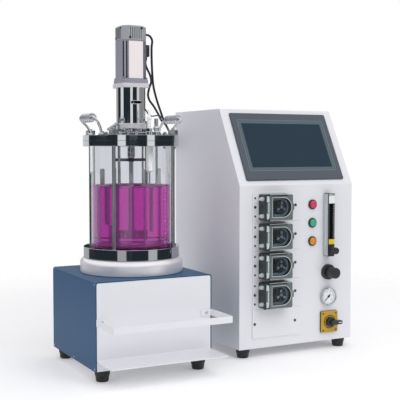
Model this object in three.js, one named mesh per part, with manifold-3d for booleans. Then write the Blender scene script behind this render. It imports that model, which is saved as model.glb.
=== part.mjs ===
// Bench bioreactor: a stirred glass vessel on a heated stand, and the control cabinet beside it.
// Millimetres, +Z up. The origin is on the bench, at the middle of the rigid pieces' footprint.
// X runs to the right along the front faces and Y runs to the back.

import * as THREE from "three";
import { mergeVertices } from "three/addons/utils/BufferGeometryUtils.js";
import Module from "manifold-3d";

const wasm = await Module();
wasm.setup();

// ---------------------------------------------------------------- driving dimensions

const gap = 0.3; // between two pieces that seat on each other
const runningGap = 0.6; // round a shaft or spindle that turns
const sheet = 2; // sheet metal
const bend = 3; // inside radius of a fold

const foot = { radius: 16, heel: 13, inset: 22 };

const stand = {
  width: 268,
  depth: 275,
  bottom: 24, // foot height
  height: 186,
  ahead: 44, // how far its front face stands ahead of the cabinet's
  axisRight: 3.5, // the vessel's axis, from the stand's middle
  axisBack: 135, // and from its front face
};

const tray = { reach: 80, level: 47 }; // bottle shelf under the stand's front panel
const rail = { reach: 96, level: 120, height: 14, thickness: 2, tab: 26 };

const heater = { margin: 8, height: 33, rounding: 8 }; // margin: beyond the seat, all round
const band = { rim: 15, height: 23, floor: 12 }; // rim: thickness of the steel round the glass
const glass = { radius: 92, wall: 5, base: 10, height: 243.2, corner: 9 };
const neck = { height: 11.4 };
const lid = { thickness: 12 };
const tie = { radius: 4, outside: 7, thread: 15, nut: 11, nutHeight: 10, washer: 12.5, washerHeight: 2 };

const handle = { wire: 3, footIn: 13, footY: 33, gripOut: 6, gripRise: 37, gripHalf: 41 }; // in and out: from the lid's edge
const coil = { wire: 1.7, radius: 8.6, turns: 6, halfLength: 32 };

const shaft = { radius: 5, aboveFloor: 17 };
const coupling = { radius: 13, height: 52 };
const housing = {
  flange: 38,
  flangeHeight: 7,
  waist: 24,
  waistHeight: 7.5,
  collar: 34,
  collarHeight: 11,
  radius: 32,
  height: 105,
  wall: 5,
  bolt: 4.6,
  boltCircle: 32,
  slot: { width: 24, height: 5, level: 72 },
};
const motor = {
  frame: 60,
  plate: 9,
  plateMargin: 1.5,
  flange: 8,
  body: 85,
  cap: 32,
  cornerCut: 9.6,
  flangeCut: 4,
  shaftHole: 12,
};
const connector = { width: 24, depth: 11, height: 26, below: 7 };

const impeller = { radius: 28, blade: 15, bladeHeight: 14, disc: 20, hub: 9, hubHeight: 16, aboveFloor: 21 };
const breaker = { reach: 28, hub: 7, height: 8.5, blade: 2 };
const seal = { flange: 16, flangeHeight: 5, radius: 8.6, groove: 7.2, rings: 3, ringPitch: 10.6 };
const baffle = { count: 4, width: 16, thickness: 2, height: 172, clear: 9, ring: 4, rings: [12, 118] };
const sparger = { ring: 20, pipe: 3, riser: 48, outlet: 90, angle: 214, lift: 8, bend: 8, crest: 20 };

// Fittings on the lid: where each stands (angle from +X, and distance from the axis) and its turned profile.
const port = { boss: 8, wall: 5 };
const probes = {
  foam: { angle: 288, at: 60, stem: 4, sleeve: 7.5, sleeveLength: 68, tip: 34, above: 56, nut: 8 },
  ph: { angle: 100, at: 57, stem: 6, below: 190, above: 30, nut: 9 },
  temperature: { angle: 42.7, at: 65, stem: 2.5, below: 205, above: 48, nut: 6.5 },
  sample: { angle: 304.7, at: 65, stem: 2.5, below: 222, above: 37, nut: 7 },
};
const exhaust = { angle: 24, at: 50, radius: 4, above: 34, base: 7.5 };

const cabinet = {
  width: 314,
  depth: 330,
  bottom: 22, // foot height
  abovePanel: 15.5, // front face left above the pump modules
  rise: 178, // height of the sloping face
  lean: 96, // how far the display face leans back
};
const between = 96; // clear space between stand and cabinet

const display = { width: 271, height: 178, lift: 12, left: 21, bezel: 5, boxMargin: 9, boxDepth: 32, recess: 1.2 };
const screen = { width: 220, height: 114 };
const modules = { left: 33.5, bottom: 45.5, width: 130.5, pitch: 67.4, count: 5, thickness: 2, seam: 1 };
const pump = {
  width: 74,
  between: 7.4, // clear space from one head to the next
  depth: 19,
  cover: 11,
  left: 15.5, // from the module plate's left edge
  corner: 4,
  wall: 2.5,
  trackRim: 6.5, // head above and below the track
  trackEnd: 4.5, // and to the right of it
  floor: 6,
  latchHeight: 18,
  latchReach: 6,
};
const pumpTube = { radius: 3.7, depth: 14, fitting: 5, flange: 8, flangeWidth: 4, ahead: 8, grip: 12 };
const rotor = { tubeClear: 1.1, hub: 7, discThickness: 2, roller: 4.5, rollers: 3, spindle: 3, depth: 18 };
const lamps = { x: 198.5, top: 351, pitch: 43.5, bezel: 11.5, bezelHeight: 3, lens: 8.6, lensHeight: 7 };
const flowmeter = { x: 240, bottom: 227, width: 24, height: 150, depth: 20, bore: 5.2, end: 19, port: 3 };
const float = { clear: 0.8, height: 9 };
const flowKnob = { radius: 8, length: 13, stem: 3.2, neck: 9, level: 15 };
const regulator = { x: 244, z: 188, flange: 18.5, flangeHeight: 9, neck: 11, neckHeight: 7 };
const regulatorKnob = { radius: 13, length: 20, flutes: 10, flute: 1.4 };
const gauge = { x: 244, z: 129, radius: 21.5, height: 10, rim: 2, recess: 5, dialHole: 1.6 };
const needle = { length: 15, tail: 6, hub: 2.6, thickness: 0.8, spindle: 1.1 };
const mainSwitch = { x: 247, z: 67.5, width: 48, height: 52, base: 6, hole: 6 };
const switchHandle = { hub: 12, hubHeight: 10, lever: 9, leverLength: 31, leverHeight: 9 };
const glands = { z: 500, xs: [70, 100, 125], radii: [9, 9, 5.5], length: 18 };
const inlet = { x: 245, z: 90, width: 50, height: 30, depth: 4, socket: 24 };
const vents = { x: 157, z: 300, length: 120, height: 4, pitch: 14, count: 6 };

// The free leads' routes, in the object's own frame. Each leaves the motor or a probe, hangs down
// towards the back and round the cabinet's rear corner, and ends at its gland on the rear panel.
const leads = {
  motor_encoder_cable: {
    radius: 2.5,
    points: [
      [-164.4, -13, 735.5],
      [-159, -13.2, 735],
      [-153.5, -14, 731],
      [-150.5, -15.5, 723],
      [-152.5, -17, 709],
      [-152.5, -17, 680],
      [-150.5, -16, 647],
      [-146, -11.5, 623],
      [-131.5, 3.5, 595],
      [-112.5, 25, 571.5],
      [-96.5, 44, 554],
      [-81.5, 61, 540.5],
      [-64, 84.5, 529.5],
      [-44.5, 114, 518.5],
      [-22, 152.5, 505.5],
      [-1, 192.5, 497],
      [17, 230, 491],
      [30, 256, 487],
      [50, 276, 485],
      [73, 281, 487],
      [90, 268, 494],
      [95, 255, 499],
    ],
    gland: 0,
  },
  motor_power_cable: {
    radius: 2.5,
    points: [
      [-166.2, -13, 676.7],
      [-165.6, -13.5, 669],
      [-162.5, -17, 658],
      [-158.5, -22, 645],
      [-157, -24, 632],
      [-160, -19, 616],
      [-159, -11, 603],
      [-149.5, 1.5, 591],
      [-135, 12, 579.5],
      [-117, 28, 564],
      [-95, 56, 549],
      [-75, 78, 541],
      [-59.5, 99, 533],
      [-42.5, 124, 524.5],
      [-22, 158.5, 515.5],
      [-1.5, 198, 506.5],
      [17, 236, 500],
      [30, 264, 495],
      [53, 292, 491],
      [86, 302, 490],
      [112, 289, 493],
      [124, 266, 499],
    ],
    gland: 1,
  },
  probe_lead: {
    radius: 1.5,
    points: [
      [-153.7, 31.1, 559.7],
      [-153.5, 31.2, 566],
      [-151, 32.2, 571.5],
      [-146.5, 34, 573],
      [-142, 36.5, 569.5],
      [-135, 40, 561.5],
      [-123, 46.5, 558],
      [-104.5, 57, 560],
      [-88.5, 69, 557],
      [-73, 88, 547.5],
      [-54.5, 113, 539],
      [-35, 142.5, 531],
      [-14.5, 177, 522],
      [4, 212, 515],
      [20, 246.5, 509.5],
      [36, 276, 505],
      [63, 308, 499],
      [102, 318, 495],
      [136, 301, 495],
      [149, 272, 499],
    ],
    gland: 2,
  },
};

// ---------------------------------------------------------------- materials

const finish = (color, roughness, metalness, extra = {}) =>
  new THREE.MeshStandardMaterial({ color, roughness, metalness, ...extra });

const blueEnamel = finish(0x3f6488, 0.45, 0.1);
const whiteEnamel = finish(0xd9dadd, 0.5, 0.05);
const greyEnamel = finish(0xb9b9c2, 0.55, 0.05);
const polishedSteel = finish(0xc9ccd0, 0.1, 1);
const satinAluminium = finish(0xd4d6da, 0.35, 0.9);
const clearGlass = finish(0xeef4f6, 0.02, 0, { transparent: true, opacity: 0.25 });
const motorGrey = finish(0x8d8f9b, 0.4, 0.6);
const ptfe = finish(0xf5f5f3, 0.5, 0);
const whitePlastic = finish(0xe9eceb, 0.4, 0);
const blackPlastic = finish(0x1b1e20, 0.45, 0);
const blackRubber = finish(0x141516, 0.8, 0);
const bezelGrey = finish(0x555b63, 0.5, 0);
const clearPlastic = finish(0xdfe6e8, 0.08, 0, { transparent: true, opacity: 0.35 });
const yellowPlastic = finish(0xe0a81c, 0.4, 0);
const lensRed = finish(0xc81e3c, 0.2, 0);
const lensGreen = finish(0x3aa27f, 0.2, 0);
const lensAmber = finish(0xe08a1a, 0.2, 0);

// ---------------------------------------------------------------- solids and cuts

// A geometry as a solid. One that came out inside out has its faces turned.
function solidOf(geometry) {
  const bare = new THREE.BufferGeometry().setAttribute("position", geometry.getAttribute("position").clone());
  if (geometry.index) bare.setIndex(geometry.index.clone());
  const merged = mergeVertices(bare, 1e-4);
  const corners = merged.attributes.position.array;
  const faces = [];
  for (let i = 0; i < merged.index.count; i += 3) {
    const [a, b, c] = [0, 1, 2].map((k) => merged.index.getX(i + k));
    if (a !== b && b !== c && c !== a) faces.push(a, b, c);
  }
  const build = (triangles) =>
    new wasm.Manifold(new wasm.Mesh({ numProp: 3, vertProperties: corners, triVerts: new Uint32Array(triangles) }));
  const made = build(faces);
  if (made.volume() >= 0) return made;
  for (let i = 0; i < faces.length; i += 3) [faces[i + 1], faces[i + 2]] = [faces[i + 2], faces[i + 1]];
  return build(faces);
}

function geometryOf(solid) {
  const mesh = solid.getMesh();
  const positions = new Float32Array(mesh.numVert * 3);
  for (let i = 0; i < mesh.numVert; i++)
    positions.set(mesh.vertProperties.subarray(i * mesh.numProp, i * mesh.numProp + 3), i * 3);
  const geometry = new THREE.BufferGeometry().setAttribute("position", new THREE.BufferAttribute(positions, 3));
  geometry.setIndex(new THREE.BufferAttribute(mesh.triVerts, 1));
  const flat = geometry.toNonIndexed();
  flat.computeVertexNormals();
  return flat;
}

const radians = THREE.MathUtils.degToRad;

const join = (first, ...others) => others.reduce((sum, g) => sum.add(solidOf(g)), solidOf(first));
const cut = (solid, ...tools) => tools.reduce((rest, g) => rest.subtract(solidOf(g)), solid);

// ---------------------------------------------------------------- shapes

const box = (x0, x1, y0, y1, z0, z1) =>
  new THREE.BoxGeometry(x1 - x0, y1 - y0, z1 - z0).translate((x0 + x1) / 2, (y0 + y1) / 2, (z0 + z1) / 2);

// A profile of [radius, height] pairs turned about Z.
const turned = (profile, sides = 24) =>
  new THREE.LatheGeometry(
    profile.map(([r, z]) => new THREE.Vector2(r, z)),
    sides,
  ).rotateX(Math.PI / 2);

// A profile of [radius, distance out of the panel] pairs turned about Y. The panel faces -Y.
const turnedOut = (profile, sides = 24) => turned(profile, sides).rotateX(Math.PI / 2);

const rod = (radius, z0, z1, sides = 16) =>
  turned(
    [
      [0, z0],
      [radius, z0],
      [radius, z1],
      [0, z1],
    ],
    sides,
  );

// The same rod standing out of a panel from depth y0 to y1.
const rodOut = (radius, out0, out1, sides = 16) => rod(radius, out0, out1, sides).rotateX(Math.PI / 2);

const ring = (inner, outer, z0, z1, sides = bigSides) =>
  turned(
    [
      [inner, z0],
      [outer, z0],
      [outer, z1],
      [inner, z1],
      [inner, z0],
    ],
    sides,
  );

// Points of an arc about (x, y), from one angle to another in degrees.
function arc(x, y, radius, from, to, steps = 4) {
  return Array.from({ length: steps + 1 }, (_, i) => {
    const a = radians(from + ((to - from) * i) / steps);
    return [x + radius * Math.cos(a), y + radius * Math.sin(a)];
  });
}

const outline = (points) => new THREE.Shape(points.map(([x, y]) => new THREE.Vector2(x, y)));

function roundedRectangle(width, height, radius, steps = 3) {
  const [x, y] = [width / 2 - radius, height / 2 - radius];
  return outline([
    ...arc(x, y, radius, 0, 90, steps),
    ...arc(-x, y, radius, 90, 180, steps),
    ...arc(-x, -y, radius, 180, 270, steps),
    ...arc(x, -y, radius, 270, 360, steps),
  ]);
}

const raised = (shape, z0, z1) =>
  new THREE.ExtrudeGeometry(shape, { depth: z1 - z0, bevelEnabled: false, steps: 1 }).translate(0, 0, z0);

// A shape drawn in X and Z, standing out of the panel (towards -Y) from one depth to another.
const standing = (shape, out0, out1) => raised(shape, out0, out1).rotateX(Math.PI / 2);

// A shape drawn in Y and Z, run along X.
const runAlongX = (shape, x0, x1) =>
  raised(shape, x0, x1).applyMatrix4(
    new THREE.Matrix4().makeBasis(
      new THREE.Vector3(0, 1, 0),
      new THREE.Vector3(0, 0, 1),
      new THREE.Vector3(1, 0, 0),
    ),
  );

// A sheet folded along a line of points, as a closed outline. The sheet lies on the left of the line.
function foldedSheet(points, thickness = sheet, inside = bend, steps = 3) {
  const near = [];
  const far = [];
  const v = points.map(([x, y]) => new THREE.Vector2(x, y));
  const left = (d) => new THREE.Vector2(-d.y, d.x);
  v.forEach((p, i) => {
    const before = i > 0 ? p.clone().sub(v[i - 1]).normalize() : null;
    const after = i < v.length - 1 ? v[i + 1].clone().sub(p).normalize() : null;
    if (!before || !after) {
      near.push(p);
      far.push(p.clone().addScaledVector(left(after ?? before), thickness));
      return;
    }
    const turn = Math.atan2(before.cross(after), before.dot(after));
    const side = Math.sign(turn);
    const radius = side > 0 ? inside + thickness : inside;
    const setBack = radius * Math.tan(Math.abs(turn) / 2);
    const start = p.clone().addScaledVector(before, -setBack);
    const centre = start.clone().addScaledVector(left(before), side * radius);
    for (let k = 0; k <= steps; k++) {
      const arm = start.clone().sub(centre).rotateAround(new THREE.Vector2(), (turn * k) / steps);
      near.push(centre.clone().add(arm));
      far.push(centre.clone().addScaledVector(arm, 1 - (side * thickness) / radius));
    }
  });
  return new THREE.Shape([...near, ...far.reverse()]);
}

// A round wire along a curve.
function wire(curve, radius, steps, sides = 8) {
  const section = outline(arc(0, 0, radius, 0, 360, sides).slice(0, sides));
  return new THREE.ExtrudeGeometry(section, { steps, bevelEnabled: false, extrudePath: curve });
}

// A route whose sections stand on its own points, so that a straight run takes one step and a bend several.
class Route extends THREE.Curve {
  constructor(points) {
    super();
    this.points = points;
  }
  getPointAt(t) {
    const at = t * (this.points.length - 1);
    const i = Math.min(Math.floor(at), this.points.length - 2);
    return this.points[i].clone().lerp(this.points[i + 1], at - i);
  }
  getTangentAt(t) {
    const i = Math.round(t * (this.points.length - 1));
    const before = this.points[Math.max(i - 1, 0)];
    return this.points[Math.min(i + 1, this.points.length - 1)].clone().sub(before).normalize();
  }
}

// A pipe along straight runs with a round bend at each corner between them.
function bentPipe(corners, radius, bendRadius, steps = 5, sides = 6) {
  const points = [corners[0]];
  for (let i = 1; i < corners.length - 1; i++) {
    const into = corners[i].clone().sub(corners[i - 1]).normalize();
    const out = corners[i + 1].clone().sub(corners[i]).normalize();
    const half = into.angleTo(out) / 2;
    const setBack = bendRadius * Math.tan(half);
    const start = corners[i].clone().addScaledVector(into, -setBack);
    const inward = out.clone().sub(into).normalize();
    const centre = corners[i].clone().addScaledVector(inward, bendRadius / Math.cos(half));
    const axis = into.clone().cross(out).normalize();
    for (let k = 0; k <= steps; k++)
      points.push(start.clone().sub(centre).applyAxisAngle(axis, (2 * half * k) / steps).add(centre));
  }
  points.push(corners[corners.length - 1]);
  return wire(new Route(points), radius, points.length - 1, sides);
}

const smooth = (points, tension = 0.5) =>
  new THREE.CatmullRomCurve3(
    points.map((p) => new THREE.Vector3(...p)),
    false,
    "centripetal",
    tension,
  );

const probeSides = 8;
const shaftSides = 14;
const bigSides = 30; // facets of the vessel's large rings, one count so that they nest

const polar = (angle, distance) => [
  distance * Math.cos(radians(angle)),
  distance * Math.sin(radians(angle)),
];

// ---------------------------------------------------------------- layout

const pumpHeight = modules.pitch - pump.between;
const track = pumpHeight / 2 - pump.trackRim;
const trackX = pump.width / 2 - pump.trackEnd - track; // rotor's axis, right of the head's middle
const rotorReach = track - 2 * pumpTube.radius - rotor.tubeClear;
const knee = modules.bottom + modules.pitch * modules.count + cabinet.abovePanel;
const cabinetTop = knee + cabinet.rise;

const totalWidth = stand.width + between + cabinet.width;
const totalDepth = rail.reach + stand.ahead + cabinet.depth + glands.length;
const standX = -totalWidth / 2 + stand.width / 2;
const standY = -totalDepth / 2 + rail.reach;
const cabinetX = totalWidth / 2 - cabinet.width;
const cabinetY = standY + stand.ahead;

const rimRadius = glass.radius + band.rim; // the seat, the neck ring and the lid
const heaterRadius = rimRadius + heater.margin;
const tieCircle = glass.radius + tie.outside;
const baffleOuter = glass.radius - glass.wall - baffle.clear;

const standTop = stand.bottom + stand.height;
const heaterZ = standTop + gap;
const bandZ = heaterZ + heater.height + gap;
const bandTop = bandZ + band.height;
const glassZ = bandZ + band.floor + gap;
const glassTop = glassZ + glass.height;
const floorZ = glassZ + glass.base; // inside of the vessel
const neckZ = glassTop - neck.height;
const lidZ = glassTop + gap;
const lidTop = lidZ + lid.thickness;
const housingZ = lidTop + gap;
const motorZ = housingZ + housing.height + motor.plate + gap;

const reactor = new THREE.Group();
const standGroup = new THREE.Group();
const vesselGroup = new THREE.Group();
const cabinetGroup = new THREE.Group();
standGroup.position.set(standX, standY, 0);
vesselGroup.position.set(standX + stand.axisRight, standY + stand.axisBack, 0);
cabinetGroup.position.set(cabinetX, cabinetY, 0);
reactor.add(standGroup, vesselGroup, cabinetGroup);

function place(group, name, shape, material, position = [0, 0, 0], angle = 0) {
  const geometry = shape.isBufferGeometry ? geometryOf(solidOf(shape)) : geometryOf(shape);
  const mesh = new THREE.Mesh(geometry, material);
  mesh.name = name;
  mesh.position.set(...position);
  mesh.rotation.z = radians(angle);
  group.add(mesh);
  return mesh;
}

// A rubber foot under a floor sheet, let into it a little so that the two are one piece.
const footUnder = (x, y, floor) =>
  turned(
    [
      [0, 0],
      [foot.heel, 0],
      [foot.radius, floor * 0.55],
      [foot.radius, floor + sheet / 2],
      [0, floor + sheet / 2],
    ],
    8,
  ).translate(x, y, 0);

// ---------------------------------------------------------------- stand

function makeStand() {
  const half = stand.width / 2;
  const inside = half - sheet - gap;
  const top = standTop - sheet - gap;

  // Cover: one sheet folded down over both sides.
  const wrap = foldedSheet([
    [half, stand.bottom],
    [half, standTop],
    [-half, standTop],
    [-half, stand.bottom],
  ]);
  place(standGroup, "stand_cover", standing(wrap, -stand.depth, 0), blueEnamel);

  // What stands inside the cover keeps clear of its rounded top corners.
  const [low, rounding] = [-stand.bottom, bend + 1];
  const room = outline([
    [-inside, low],
    [inside, low],
    ...arc(inside - rounding, top - rounding, rounding, 0, 90),
    ...arc(-inside + rounding, top - rounding, rounding, 90, 180),
  ]);
  const roomInside = solidOf(standing(room, -2 * stand.depth, 2 * stand.depth));

  // Front panel, folded forward at its foot as the bottle shelf.
  const apron = foldedSheet([
    [0, top],
    [0, tray.level],
    [-tray.reach, tray.level],
  ]);
  const panel = solidOf(runAlongX(apron, -inside, inside)).intersect(roomInside);
  place(standGroup, "stand_front_panel", panel, whiteEnamel);

  // Chassis: front lip, floor and rear wall in one sheet, on four rubber feet.
  const pan = foldedSheet([
    [0, tray.level - sheet - gap],
    [0, stand.bottom],
    [stand.depth, stand.bottom],
    [stand.depth, top],
  ]);
  const feet = [-1, 1].flatMap((side) =>
    [foot.inset, stand.depth - foot.inset].map((y) => footUnder(side * (half - foot.inset), y, stand.bottom)),
  );
  const chassis = join(runAlongX(pan, -inside, inside), ...feet).intersect(roomInside);
  place(standGroup, "stand_chassis", chassis, whiteEnamel);

  // Bottle rail: flat bar bent round the shelf, with a tab turned in at each end.
  const bar = foldedSheet(
    [
      [-half + rail.tab, -gap],
      [-half, -gap],
      [-half, -rail.reach],
      [half, -rail.reach],
      [half, -gap],
      [half - rail.tab, -gap],
    ],
    rail.thickness,
    1.5,
  );
  place(standGroup, "bottle_rail", raised(bar, rail.level, rail.level + rail.height), whiteEnamel);
}

// ---------------------------------------------------------------- vessel

const tieAngles = [45, 135, 225, 315];
const tieHoles = (z0, z1) =>
  tieAngles.map((a) => rod(tie.radius + gap, z0, z1, 8).translate(tieCircle, 0, 0).rotateZ(radians(a)));

// Tie rods: long studs that clamp the lid on the glass, each with a washer and a hexagon nut above.
function tieRods() {
  const washerZ = lidTop + gap;
  const nutZ = washerZ + tie.washerHeight;
  const nutTop = nutZ + tie.nutHeight;
  const nut = [
    [0, nutZ - 0.5],
    [tie.nut, nutZ - 0.5],
    [tie.nut, nutTop - 2],
    [tie.nut - 2.5, nutTop],
    [0, nutTop],
  ];
  return tieAngles.flatMap((angle) =>
    [
      rod(tie.radius, bandTop - tie.thread, nutTop + 3, 8),
      rod(tie.washer, washerZ, nutZ, 10),
      turned(nut, 6),
    ].map((g) => g.translate(tieCircle, 0, 0).rotateZ(radians(angle))),
  );
}

function makeHeaterAndSeat() {
  const h = heater;
  const top = heaterZ + h.height;
  const block = [
    [0, heaterZ],
    [heaterRadius - 3, heaterZ],
    [heaterRadius, heaterZ + 2.5],
    ...arc(heaterRadius - h.rounding, top - h.rounding, h.rounding, 0, 90),
    [0, top],
  ];
  place(vesselGroup, "heater_block", turned(block, bigSides), satinAluminium);

  // A dish that the glass stands in, with the tie rods screwed tight into its rim.
  const seat = glass.radius + gap;
  const dish = [
    [0, bandZ],
    [rimRadius - 1, bandZ],
    [rimRadius, bandZ + 1],
    [rimRadius, bandTop - 1],
    [rimRadius - 1, bandTop],
    [seat, bandTop],
    [seat, bandZ + band.floor],
    [0, bandZ + band.floor],
  ];
  place(vesselGroup, "vessel_seat", join(turned(dish, bigSides), ...tieRods()), polishedSteel);
}

function makeGlass() {
  const inner = glass.radius - glass.wall;
  const cup = [
    [0, glassZ],
    [glass.radius - 3, glassZ],
    [glass.radius, glassZ + 3],
    [glass.radius, glassTop],
    [inner, glassTop],
    ...arc(inner - glass.corner, floorZ + glass.corner, glass.corner, 0, -90, 3),
    [0, floorZ],
  ];
  place(vesselGroup, "glass_vessel", turned(cup, bigSides), clearGlass);
}

function makeNeckAndLid() {
  const collar = ring(glass.radius + gap, rimRadius, neckZ, glassTop);
  place(vesselGroup, "neck_ring", cut(solidOf(collar), ...tieHoles(neckZ - 1, glassTop + 1)), polishedSteel);

  const disc = turned(
    [
      [0, lidZ],
      [rimRadius, lidZ],
      [rimRadius, lidTop - 1.5],
      [rimRadius - 1.5, lidTop],
      [0, lidTop],
    ],
    bigSides,
  );
  const bosses = Object.values(probes).map((p) =>
    rod(p.stem + port.wall, lidTop - 1, lidTop + port.boss, 8).translate(...polar(p.angle, p.at), 0),
  );
  const bores = Object.values(probes).map((p) =>
    rod(p.stem + gap, lidZ - 1, lidTop + port.boss + 1, probeSides).translate(...polar(p.angle, p.at), 0),
  );
  const vent = turned(
    [
      [0, lidTop - 1],
      [exhaust.base, lidTop - 1],
      [exhaust.base, lidTop + 6],
      [exhaust.radius, lidTop + 8],
      [exhaust.radius, lidTop + exhaust.above],
      [0, lidTop + exhaust.above],
    ],
    10,
  ).translate(...polar(exhaust.angle, exhaust.at), 0);
  const ventBore = rod(exhaust.radius - 1.2, lidZ - 1, lidTop + exhaust.above + 1, 8);
  const airPort = rod(sparger.pipe + port.wall, lidTop - 1, lidTop + port.boss, 8);
  const airBore = rod(sparger.pipe + 2 * gap, lidZ - 1, lidTop + port.boss + 1, 8);
  const plate = cut(
    join(disc, ...bosses, vent, airPort.translate(...polar(sparger.angle, sparger.riser), 0)),
    ...bores,
    ventBore.translate(...polar(exhaust.angle, exhaust.at), 0),
    airBore.translate(...polar(sparger.angle, sparger.riser), 0),
    rod(shaft.radius + runningGap, lidZ - 1, lidTop + 1, shaftSides),
    ...tieHoles(lidZ - 1, lidTop + 1),
  );
  place(vesselGroup, "lid_plate", plate, polishedSteel);
}

// A lifting handle of bent wire with an open coil wound round its grip, to keep the fingers cool.
function makeHandle(name, side) {
  const foot0 = lidTop + gap;
  const grip = foot0 + handle.gripRise;
  const footX = rimRadius - handle.footIn;
  const gripX = rimRadius + handle.gripOut;
  const leg = (y) => [
    [footX, y * handle.footY, foot0],
    [footX + 0.5, y * (handle.footY + 0.5), foot0 + 8],
    [footX + 6, y * (handle.footY + 5), foot0 + 20],
    [gripX - 4, y * (handle.gripHalf + 3), grip - 7],
    [gripX, y * (handle.gripHalf - 1), grip - 0.5],
    [gripX, y * (handle.gripHalf - 12), grip],
  ];
  const bow = wire(smooth([...leg(-1), ...leg(1).reverse()]), handle.wire, 18, 6);
  const turnsOfCoil = [];
  const stepsPerTurn = 7;
  const steps = coil.turns * stepsPerTurn;
  for (let i = 0; i <= steps; i++) {
    const share = i / steps;
    const a = share * coil.turns * 2 * Math.PI;
    // The end turns close down on to the wire.
    const ends = Math.min(1, Math.min(share, 1 - share) * coil.turns * 1.6);
    const r = handle.wire + (coil.radius - handle.wire) * Math.sin((ends * Math.PI) / 2);
    turnsOfCoil.push([
      gripX + r * Math.cos(a),
      -coil.halfLength + 2 * coil.halfLength * share,
      grip + r * Math.sin(a),
    ]);
  }
  const winding = wire(smooth(turnsOfCoil), coil.wire, steps, 4);
  const pads = [-1, 1].map((y) =>
    turned(
      [
        [0, foot0],
        [6.5, foot0],
        [6.5, foot0 + 3],
        [4, foot0 + 5],
        [0, foot0 + 5],
      ],
      8,
    ).translate(footX, y * handle.footY, 0),
  );
  place(vesselGroup, name, join(bow, winding, ...pads), polishedSteel, [0, 0, 0], side > 0 ? 0 : 180);
}

// ---------------------------------------------------------------- drive

function makeHousing() {
  const h = housing;
  const z = housingZ;
  const waist = z + h.flangeHeight;
  const collar = waist + h.waistHeight;
  const tube = collar + h.collarHeight;
  const top = z + h.height;
  const bore = shaft.radius + runningGap;
  const body = turned(
    [
      [bore, z],
      [h.flange, z],
      [h.flange, waist - 1],
      [h.flange - 1, waist],
      [h.waist, waist],
      [h.waist, collar],
      [h.collar, collar],
      [h.collar, tube - 1],
      [h.collar - 1, tube],
      [h.radius, tube],
      [h.radius, top],
      [h.radius - h.wall, top],
      [h.radius - h.wall, collar + 6],
      [bore, collar + 6],
      [bore, z],
    ],
    shaftSides,
  );
  const bolts = Array.from({ length: 6 }, (_, i) =>
    rod(h.bolt, waist - 0.5, waist + 4, 6).translate(...polar(60 * i + 30, h.boltCircle - 1), 0),
  );
  const half = motor.frame / 2 + motor.plateMargin;
  const plateZ = top - 0.5;
  const plate = raised(roundedRectangle(2 * half, 2 * half, 4), plateZ, top + motor.plate);
  const window = standing(
    roundedRectangle(h.slot.width, h.slot.height, h.slot.height / 2 - 0.1),
    h.radius - h.wall - 6,
    h.radius + 2,
  ).translate(0, 0, z + h.slot.level);
  const made = cut(join(body, ...bolts, plate), rod(motor.shaftHole, top - 2, top + motor.plate + 1, shaftSides), window);
  place(vesselGroup, "bearing_housing", made, polishedSteel);
}

const cutCornerSquare = (size, corner) => {
  const h = size / 2;
  const c = h - corner;
  return outline([
    [h, -c],
    [h, c],
    [c, h],
    [-c, h],
    [-h, c],
    [-h, -c],
    [-c, -h],
    [c, -h],
  ]);
};

function makeMotor() {
  const m = motor;
  const bodyZ = motorZ + m.flange;
  const capZ = bodyZ + m.body;
  const flange = raised(cutCornerSquare(m.frame, m.flangeCut), motorZ, bodyZ + 0.5);
  const body = raised(cutCornerSquare(m.frame - 1, m.cornerCut), bodyZ, capZ);
  place(vesselGroup, "motor_body", join(flange, body), motorGrey);

  const cap = raised(cutCornerSquare(m.frame - 1, m.cornerCut), capZ + gap, capZ + m.cap - 2);
  const crown = raised(cutCornerSquare(m.frame - 5, m.cornerCut), capZ + m.cap - 2.5, capZ + m.cap);
  // The encoder lead leaves the cap through a stepped grommet on the right.
  const grommet = turned(
    [
      [0, 0],
      [6.5, 0],
      [6.5, 4],
      [4.6, 7.5],
      [0, 7.5],
    ],
    12,
  )
    .rotateY(Math.PI / 2)
    .translate(m.frame / 2 - 1, 0, capZ + m.cap - 15.5);
  place(vesselGroup, "motor_rear_cap", join(cap, crown, grommet), motorGrey);

  const c = connector;
  const x = m.frame / 2 - 0.5 + gap;
  const top = capZ - c.below;
  const shell = box(x, x + c.depth, -c.width / 2, c.width / 2, top - c.height, top);
  const plug = turned(
    [
      [0, top - c.height - 9],
      [4.5, top - c.height - 9],
      [5, top - c.height + 0.5],
      [0, top - c.height + 0.5],
    ],
    12,
  ).translate(x + c.depth / 2, 0, 0);
  place(vesselGroup, "motor_connector", join(shell, plug), blackPlastic);
}

// ---------------------------------------------------------------- inside the vessel

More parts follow.
